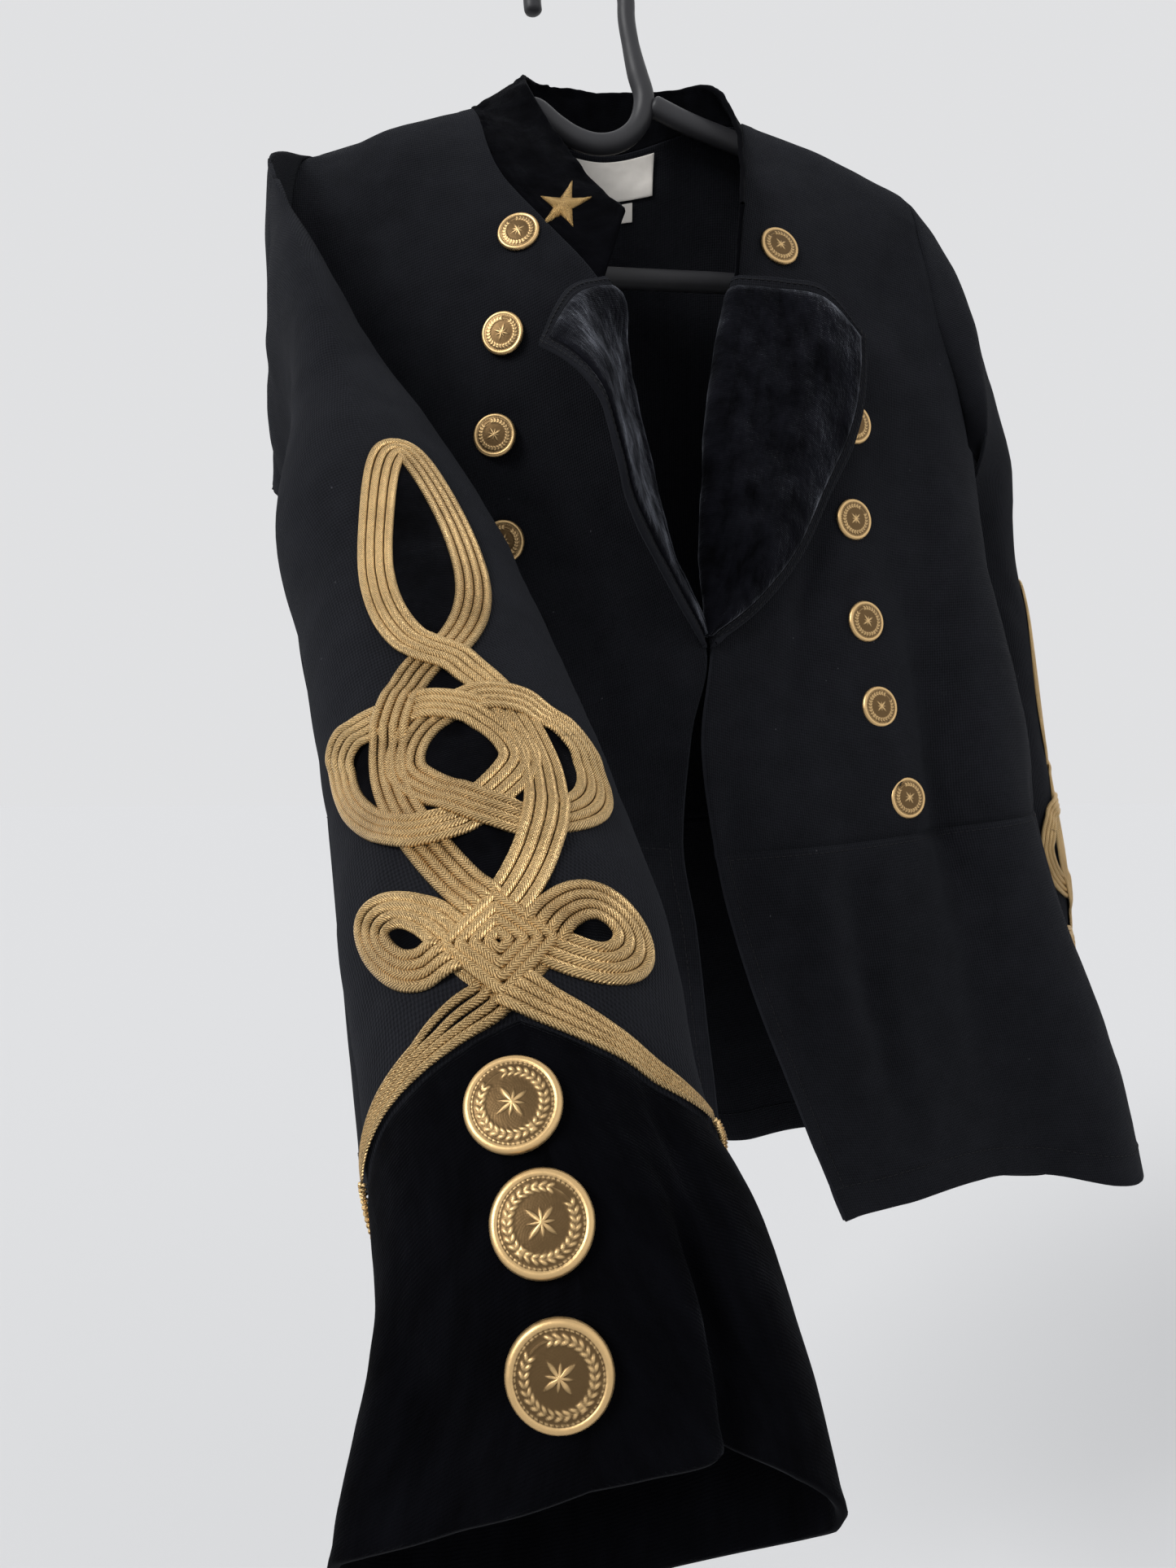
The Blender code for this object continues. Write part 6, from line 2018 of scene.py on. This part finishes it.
    def make_backing(self, mesh: Mesh, step: float = 1.5) -> None:
        """Adds the velvet under the braid, its voids filled.

        Args:
            mesh: what it is added to.
            step: the width of its cells in millimetres.
        """
        across = np.arange(-self.leg_reach - 6, self.leg_reach + 6, step)
        up = np.arange(-50, self.loop_top + 10, step)
        p, q = np.meshgrid(across, up)
        margin, low, high = 1.6, 1.1, 1.7
        open_ground = self.depth(p, q) < margin
        outside = np.zeros_like(open_ground)
        outside[0], outside[-1], outside[:, 0], outside[:, -1] = True, True, True, True
        while True:
            grown = outside.copy()
            grown[1:] |= outside[:-1]
            grown[:-1] |= outside[1:]
            grown[:, 1:] |= outside[:, :-1]
            grown[:, :-1] |= outside[:, 1:]
            grown &= open_ground
            grown |= outside
            if (grown == outside).all():
                break
            outside = grown
        points, ups = self.arm.surface(p.ravel(), q.ravel())
        inside = ~outside
        cells = inside[:-1, :-1] & inside[1:, :-1] & inside[:-1, 1:] & inside[1:, 1:]
        used = np.zeros_like(inside)
        for di in (0, 1):
            for dj in (0, 1):
                used[di:di + cells.shape[0], dj:dj + cells.shape[1]] |= cells
        order = -np.ones(p.size, int)
        order[used.ravel()] = np.arange(int(used.sum()))
        points, ups = points[used.ravel()], ups[used.ravel()]
        near, far = points + low * ups, points + high * ups
        count = len(near)
        cols = p.shape[1]
        quads = []
        for i, j in zip(*np.nonzero(cells)):
            k = i * cols + j
            quads.append([order[corner] for corner in (k, k + 1, k + cols + 1, k + cols)])
        a, b, c = (far[k] for k in quads[0][:3])
        if np.dot(np.cross(b - a, c - a), ups[quads[0][0]]) < 0:
            quads = [f[::-1] for f in quads]
        edges = {(f[k], f[(k + 1) % 4]) for f in quads for k in range(4)}
        walls = [(b, a, a + count, b + count) for a, b in edges if (b, a) not in edges]
        faces = quads + [[k + count for k in f[::-1]] for f in quads] + sorted(walls)
        flat = np.stack([p.ravel(), q.ravel()], 1)[used.ravel()] * MM
        coords = [tuple(flat[k % count]) for f in faces for k in f]
        mesh.extend(np.concatenate([far, near]), faces, coords)

    def make(self, wardrobe: Wardrobe) -> None:
        """Makes the braid and its backing.

        Args:
            wardrobe: the finishes.
        """
        name = self.arm.side
        mesh = Mesh()
        self.make_cords(mesh)
        self.make_diamonds(mesh)
        settle(mesh.build(f"gold_knot_{name}", wardrobe.cord), f"knot_{name}", f"knot_{name}")
        mesh = Mesh()
        self.make_backing(mesh)
        node = f"knot_backing_{name}"
        settle(mesh.build(f"velvet_backing_{name}", wardrobe.velvet), node, node)


@dataclass
class Piping:
    """The twisted gold cord round the rest of a cuff's edge."""

    arm: Arm
    radius: float = 1.0
    reach: float = 54.0
    pitch: float = 3.0
    step: float = 0.45

    def make(self, wardrobe: Wardrobe) -> None:
        """Makes the cord as two strands twisted together.

        Args:
            wardrobe: the finishes.
        """
        ends = [self.arm.locate(np.array([side * self.reach]), np.array([0.0]))[0][0] for side in (1, -1)]
        angle = np.linspace(ends[0], 360 + ends[1], 361)
        s = self.arm.edges(angle)[0] - (self.radius + 0.8) / 600.0
        points, ups = self.arm.skin(angle, s)
        points = points + ups * (JERSEY / 2 + self.radius * 0.8)
        run = run_along(points)
        at = np.linspace(0, run[-1], int(run[-1] / self.step))
        line, ups = read_along(at, run, points), unit(read_along(at, run, ups))
        aside = unit(np.cross(ahead_of(line), ups))
        rounds, fibre = 6, 0.001
        turns = np.radians(range(0, 360, 360 // rounds))
        mesh = Mesh()
        for phase in (0.0, math.pi):
            turn = 2 * math.pi * at / self.pitch + phase
            middle = line + 0.5 * self.radius * (ups * np.sin(turn)[:, None] + aside * np.cos(turn)[:, None])
            ring = [middle + 0.62 * self.radius * (ups * math.sin(a) + aside * math.cos(a)) for a in turns]
            coords = []
            for v0, v1 in zip(at * MM, at[1:] * MM):
                for u in (m * fibre for m in range(rounds)):
                    coords += [(u, v0), (u + fibre, v0), (u + fibre, v1), (u, v1)]
            coords += [(0.0, 0.0)] * (2 * rounds)
            mesh.extend(np.stack(ring, 1).reshape(-1, 3), tube_faces(len(at), rounds), coords)
        name = f"cuff_piping_{self.arm.side}"
        settle(mesh.build(f"gold_{name}", wardrobe.piping), name, name)


class Seat:
    """Where a small solid of the frame sits: its axis, its foot and which way its farthest point lies."""

    def __init__(self, node: bpy.types.Object, outward: Sequence[float]) -> None:
        """Measures the solid.

        Args:
            node: the frame's object.
            outward: roughly which way its axis points.
        """
        points = np.array([node.matrix_world @ v.co for v in node.data.vertices]) / MM
        spread_out = points - points.mean(0)
        _, axes = np.linalg.eigh(spread_out.T @ spread_out)
        self.axis = axes[:, 0] * (1 if np.dot(axes[:, 0], outward) > 0 else -1)
        high = points @ self.axis
        middle = points.mean(0)
        self.base = middle + self.axis * (high.min() - middle @ self.axis)
        far = spread_out[int(np.argmax(np.linalg.norm(spread_out, axis=1)))]
        self.tip = unit(far - np.dot(far, self.axis) * self.axis)


@dataclass
class Button:
    """A domed gilt button: a roped rim, a laurel wreath and a compass star."""

    radius: float = 11.1
    dome: float = 2.7
    foot: float = 0.9
    stamp: float = 0.42
    rings: int = 44
    around: int = 150

    def relief(self, r: Array, turn: Array) -> Array:
        """How high the stamped work stands at shares r of the radius and turns round it.

        Args:
            r: shares of the radius.
            turn: radians round the button.

        Returns:
            Heights, mostly 0 to 1.
        """
        lip_at, rope_at, fillet_at, stem_at = 0.93, 0.82, 0.785, 0.65
        strands, leaf_count, ray_turn = 52, 13, math.pi / 4
        bottom = math.pi / 2 * 3
        lip = 1.25 * np.clip(1 - ((r - lip_at) / 0.078) ** 2, 0, 1) ** 0.5
        rope = 0.75 * bell(r - rope_at, 0.022) * (0.55 + 0.45 * np.cos(strands * turn + 30 * (r - rope_at)))
        fillet = 0.35 * bell(r - fillet_at, 0.010)
        leaves = np.zeros_like(r)
        for row, slant in ((0.60, 1.0), (0.70, -1.0)):
            for k in range(leaf_count):
                middle = math.radians(22 + 26.3 * k * 0.5)
                for mirror in (1, -1):
                    at = bottom + mirror * middle
                    x = ((turn - at + math.pi) % (2 * math.pi) - math.pi) * r * mirror
                    y = r - row
                    along = x * 0.85 + y * slant * 0.53
                    aside = -x * slant * 0.53 + y * 0.85
                    leaf = np.exp(-(along / 0.075) ** 2 - (aside / 0.028) ** 2)
                    leaves = np.maximum(leaves, leaf * (1 - 0.35 * bell(aside, 0.008)))
        stem = 0.5 * bell(r - stem_at, 0.012)
        beside = np.abs(((turn / ray_turn) + 0.5) % 1 - 0.5) * 2
        reach = np.where((np.floor(turn / ray_turn + 0.5) % 2) == 0, 0.40, 0.28)
        star = np.clip(1 - r / (reach * (1 - 0.72 * beside) + 1e-6), 0, 1) ** 0.6
        boss = np.clip(1 - (r / 0.075) ** 2, 0, 1)
        ground = 0.08 * np.cos(90 * r) * np.cos(34 * turn) * (r > 0.30) * (r < 0.52)
        return np.maximum.reduce([lip, rope, fillet, leaves, 0.8 * stem, 0.85 * star, boss]) + ground

    def make(self, seat: Seat, name: str, node: str, turned: float, wardrobe: Wardrobe) -> None:
        """Makes one button where a solid of the frame sits.

        Args:
            seat: the solid's place.
            name: the piece's name.
            node: the solid that it stands for.
            turned: radians it is turned by.
            wardrobe: the finishes.
        """
        spin = unit(np.cross(seat.axis, (0.0, 0.3, 1.0)))
        other = np.cross(seat.axis, spin)
        share = np.linspace(0.0, 1.0, self.rings + 1)[1:]
        turn = np.linspace(0, 2 * math.pi, self.around, endpoint=False)
        r, a = np.meshgrid(share, turn, indexing="ij")
        stamped = self.relief(r, a)
        bulge = self.dome * np.sqrt(np.clip(1 - (r * 0.93) ** 2, 0, 1)) * 0.72
        height = self.foot + bulge + self.stamp * stamped * (r < 0.985)
        ways = spin * np.cos(a + turned)[..., None] + other * np.sin(a + turned)[..., None]
        face = seat.base + self.radius * r[..., None] * ways + seat.axis * height[..., None]
        points = [face.reshape(-1, 3)]
        levels = [np.clip(stamped * 0.95, 0, 1).ravel()]
        for scale, rise in ((1.015, 1.2), (1.0, 0.55), (0.90, 0.0)):
            points.append(seat.base + self.radius * scale * ways[0] + seat.axis * rise)
            levels.append(np.full(len(turn), 0.7))
        points.append((seat.base + seat.axis * (self.foot + self.dome * 0.72 + self.stamp))[None])
        levels.append(np.array([1.0]))
        n, m = self.rings, self.around
        faces = []
        for i in range(n + 2):
            for j in range(m):
                k = (j + 1) % m
                faces.append((i * m + j, (i + 1) * m + j, (i + 1) * m + k, i * m + k))
        faces += [((n + 3) * m, j, (j + 1) % m) for j in range(m)]
        faces.append(tuple((n + 2) * m + j for j in range(m))[::-1])
        mesh = Mesh()
        mesh.extend(np.concatenate(points), faces, None, 0, np.concatenate(levels))
        settle(mesh.build(name, wardrobe.gilt), node, node)


class Trimmings:
    """Buttons, stars and labels."""

    def __init__(self, frame: dict, wardrobe: Wardrobe, collar: Patch) -> None:
        """Keeps the frame's solids, the finishes and the collar that the stars lie on.

        Args:
            wardrobe: the finishes.
            collar: the collar's patch.
        """
        self.nodes = frame["nodes"]
        self.wardrobe = wardrobe
        self.collar = (collar.grid + collar.normals * collar.shift[..., None]).reshape(-1, 3)
        self.collar_normals = collar.normals.reshape(-1, 3)

    def lay_on_collar(self, points: Array, rises: Array, axis: Array) -> Array:
        """Moves points along an axis until they stand the given rises over the collar's outer face.

        Args:
            points: rows of x, y, z.
            rises: millimetres for each.
            axis: the way out, of length 1.

        Returns:
            The moved points.
        """
        out = []
        for point, rise in zip(points, rises):
            flat = self.collar - point
            flat = flat - (flat @ axis)[:, None] * axis
            way = self.collar_normals @ axis
            near = int(np.argmin(np.einsum("ij,ij->i", flat, flat) + 1e6 * (way < 0.2)))
            normal = self.collar_normals[near]
            drop = float(np.dot(self.collar[near] - point, normal) / np.dot(normal, axis))
            out.append(point + axis * (drop + VELVET / 2 + rise))
        return np.array(out)

    def make_buttons(self) -> None:
        """The front and cuff buttons."""
        ways = {"button_right": (0, -1, 0), "button_left": (0, -1, 0),
                "cuff_button_right": (-0.1, -0.72, 0.68), "cuff_button_left": (0.98, 0, 0.17)}
        for stem, way in ways.items():
            button = Button() if stem == "cuff_button_right" else Button(rings=31, around=112)
            for number in range(1, 8 if stem.startswith("button") else 4):
                node = f"{stem}_{number}"
                turned = 0.7 * math.sin(3.1 * number + len(stem))
                button.make(Seat(self.nodes[node], way), f"gilt_{node}", node, turned, self.wardrobe)

    def make_stars(self, radius: float = 15.5, waist: float = 0.36) -> None:
        """The embroidered stars: padded arms of satin stitch, each with a ridge.

        Args:
            radius: millimetres from middle to tip.
            waist: the notches' share of it.
        """
        for side, way in ((Side.RIGHT, (0.3, -0.8, 0.5)), (Side.LEFT, (-0.9, -0.4, 0.1))):
            node = f"star_{side}"
            seat = Seat(self.nodes[node], way)
            other = np.cross(seat.axis, seat.tip)
            mesh = Mesh()
            spans, across, points = 12, 8, 5
            for point in range(points):
                for half in (1, -1):
                    tip_turn = 2 * math.pi * point / points
                    notch_turn = tip_turn + half * math.pi / points
                    tip = radius * (seat.tip * math.cos(tip_turn) + other * math.sin(tip_turn))
                    notch = waist * radius * (seat.tip * math.cos(notch_turn) + other * math.sin(notch_turn))
                    rows, rises = [], []
                    for i in range(spans + 1):
                        t = i / spans
                        for j in range(across):
                            w = min(j / (across - 2), 1.0)
                            high = 0.35 + 1.7 * (1 - w ** 2) * (1 - 0.7 * t ** 2)
                            rows.append(seat.base + mix(tip * t, mix(notch, tip, t), w))
                            rises.append(-0.6 if j == across - 1 else high)
                    faces = [(k, k + 1, k + 1 + across, k + across)
                             for i in range(spans) for k in range(i * across, i * across + across - 1)]
                    if half < 0:
                        faces = [f[::-1] for f in faces]
                    coords = []
                    for f in faces:
                        places = [divmod(k, across) for k in f]
                        coords += [(j * 0.0008, i * 0.0012 + j * 0.0004) for i, j in places]
                    mesh.extend(self.lay_on_collar(np.array(rows), np.array(rises), seat.axis), faces, coords)
            settle(mesh.build(f"gold_star_{side}", self.wardrobe.star), node, node)

    def make_labels(self) -> None:
        """The neck label and the small tab, both bare, with folded ends."""
        places = {"neck_label": ((-0.12, 0.19), (0.22, 1.28)), "size_tab": ((0.05, 0.12), (1.34, 1.62))}
        for node, (columns, rows) in places.items():
            grid = BACK.grid(np.linspace(*rows, 31), np.linspace(*columns, 41))
            patch = Patch(node, grid, True)
            patch.normals = unit(patch.face_normals()[1])
            if patch.normals[..., 1].mean() > 0:
                patch.flip = False
                patch.normals = unit(patch.face_normals()[1])
            curl = 0.8 * fractal(grid, 14.0, 2.0) + 0.9 * bell(patch.from_edge("r"), 6)
            patch.shift = 0.5 * curl
            mesh = Mesh()
            sheet_mesh(mesh, patch, 0.45, 0, 0, "tblr", lift=JERSEY / 2 + 0.9)
            piece = settle(mesh.build(f"bare_{node}", self.wardrobe.satin), node, node)
            flat, _ = patch.cut()

    def make(self) -> None:
        """Makes all of them."""
        self.make_buttons()
        self.make_stars()
        self.make_labels()


@dataclass
class Hanger:
    """The plain moulded hanger."""

    hook_radius: float = 5.0
    rod_radius: float = 6.0
    hook_inside: float = 22.5
    neck: Table = ((30, -45), (34, -62), (38, -76), (34, -92), (24, -101), (11, -104), (-2, -101), (-14, -94),
                   (-27, -85), (-40, -95), (-52, -101), (-64, -103.5), (-100, -113), (-136, -126.5),
                   (-146, -135), (-150, -148), (-148.5, -165))
    bar: Table = ((44.3, -80.2), (62, -88), (94, -99), (130, -112), (160, -124), (170, -132), (175, -146),
                  (172, -164), (163, -176), (148, -181), (80, -181), (0, -181), (-80, -181), (-132, -181),
                  (-146, -178.5))

    @staticmethod
    def rod(path: Sequence[Sequence[float]], radii: Sequence[float]) -> Mesh:
        """A smooth rod along a path in the hanger's own plane, with a fine parting line.

        Args:
            path: places across and up.
            radii: half the thickness at each.

        Returns:
            The rod's mesh.
        """
        points = np.array([(x, 0.0, z) for x, z in path], float)
        run = run_along(points)
        at = np.linspace(0, run[-1], int(run[-1] / 2.0) + 1)
        line = Spline(run, points)(at)
        radius = np.interp(at, run, radii)
        smooth(line, 3)
        ahead = ahead_of(line)
        aside = np.broadcast_to(np.array((0.0, 1.0, 0.0)), line.shape)
        other = np.cross(ahead, aside)
        ring = []
        count = 32
        for k in range(count):
            a = 2 * math.pi * k / count
            seam = 0.18 if k in (0, count // 2) else 0.0
            ring.append(line + (radius + seam)[:, None] * (other * math.cos(a) + aside * math.sin(a)))
        verts = np.stack(ring, 1)
        closing = 4
        caps = []
        for end, way in ((0, -1), (-1, 1)):
            for step in range(1, closing + 1):
                t = step / closing * math.pi / 2
                middle = line[end] + way * ahead[end] * radius[end] * 0.5 * math.sin(t)
                caps.append((end, middle + (verts[end] - line[end]) * max(math.cos(t), 0.02)))
        stack = [c for e, c in caps if e == 0][::-1] + list(verts) + [c for e, c in caps if e == -1]
        mesh = Mesh()
        mesh.extend(np.array(stack), tube_faces(len(stack), count))
        return mesh

    def make(self, wardrobe: Wardrobe) -> None:
        """Makes the hook with its right rod, and the rest.

        Args:
            wardrobe: the finishes.
        """
        bend = self.hook_inside + self.hook_radius
        turns = np.radians(np.linspace(193, -8, 15))
        hook = [(bend * math.cos(a), -self.hook_inside + bend * math.sin(a)) for a in turns]
        path = hook + list(self.neck)
        thin = len(hook) + 1
        radii = [self.hook_radius] * thin + [self.rod_radius] * (len(path) - thin)
        parts = {"hook": (path, radii), "bar": (self.bar, [self.rod_radius] * len(self.bar))}
        for part, (places, sizes) in parts.items():
            node = f"hanger_{part}"
            settle(self.rod(places, sizes).build(f"plastic_{part}", wardrobe.plastic), node, node)


@dataclass(frozen=True)
class Studio:
    """The camera, the light and the floor."""

    eye: tuple[float, float, float] = (-0.0640, -0.6569, -0.4750)
    yaw: float = -6.0
    lens: float = 26.155
    floor: float = -1.05

    def set_camera(self) -> None:
        """Puts the camera where the photograph was taken from."""
        data = bpy.data.cameras.new("camera")
        data.lens = self.lens
        data.sensor_fit = "AUTO"
        data.sensor_width = 36.0
        data.clip_start = 0.02
        camera = bpy.data.objects.new("camera", data)
        camera.location = self.eye
        camera.rotation_euler = (math.radians(90), 0.0, math.radians(self.yaw))
        bpy.context.scene.collection.objects.link(camera)
        bpy.context.scene.camera = camera

    def soft_light(self, name: str, towards: Sequence[float], spread_degrees: float, power: float) -> None:
        """Adds a wide soft light that shines one way.

        Args:
            name: its name.
            towards: the way that it shines.
            spread_degrees: how wide its disc is.
            power: its strength.
        """
        data = bpy.data.lights.new(name, "SUN")
        data.angle = math.radians(spread_degrees)
        data.energy = power
        lamp = bpy.data.objects.new(name, data)
        lamp.rotation_euler = Vector(towards).to_track_quat("-Z", "Y").to_euler()
        bpy.context.scene.collection.objects.link(lamp)

    def set_light(self) -> None:
        """Adds the lights, the pale surround and the floor."""
        self.soft_light("key", (0.72, 0.52, -0.52), 28.0, 2.5)
        self.soft_light("fill", (-0.70, 0.60, -0.25), 80.0, 0.55)
        self.soft_light("back", (-0.20, -0.75, -0.60), 80.0, 0.5)
        world = bpy.data.worlds.new("studio")
        bpy.context.scene.world = world
        bpy.context.scene.view_settings.view_transform = "Standard"
        world.use_nodes = True
        shade = next(n for n in world.node_tree.nodes if n.type == "BACKGROUND")
        shade.inputs[0].default_value = (0.88, 0.885, 0.90, 1.0)
        shade.inputs[1].default_value = 0.85
        mesh = bpy.data.meshes.new("floor")
        reach = 30.0
        corners = [(x * reach, y * reach, self.floor) for x, y in ((-1, -1), (1, -1), (1, 1), (-1, 1))]
        mesh.from_pydata(corners, [], [(0, 1, 2, 3)])
        floor = bpy.data.objects.new("floor", mesh)
        bpy.context.scene.collection.objects.link(floor)
        n = Nodes("pale_floor")
        n.set(Base_Color=(0.575, 0.578, 0.585), Roughness=0.95, Specular_IOR_Level=0.0)
        mesh.materials.append(n.material)


def main() -> None:
    """Builds the jacket round the frame."""
    logging.basicConfig(level=logging.INFO, format="%(message)s")
    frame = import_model()
    studio = Studio()
    studio.set_camera()
    studio.set_light()
    wardrobe = Wardrobe()
    tailor = Tailor(wardrobe)
    tailor.make()
    for arm in ARMS.values():
        Knot(arm).make(wardrobe)
        Piping(arm).make(wardrobe)
    Trimmings(frame, wardrobe, tailor.get("collar")).make()
    Hanger().make(wardrobe)


if __name__ == "__main__":
    main()
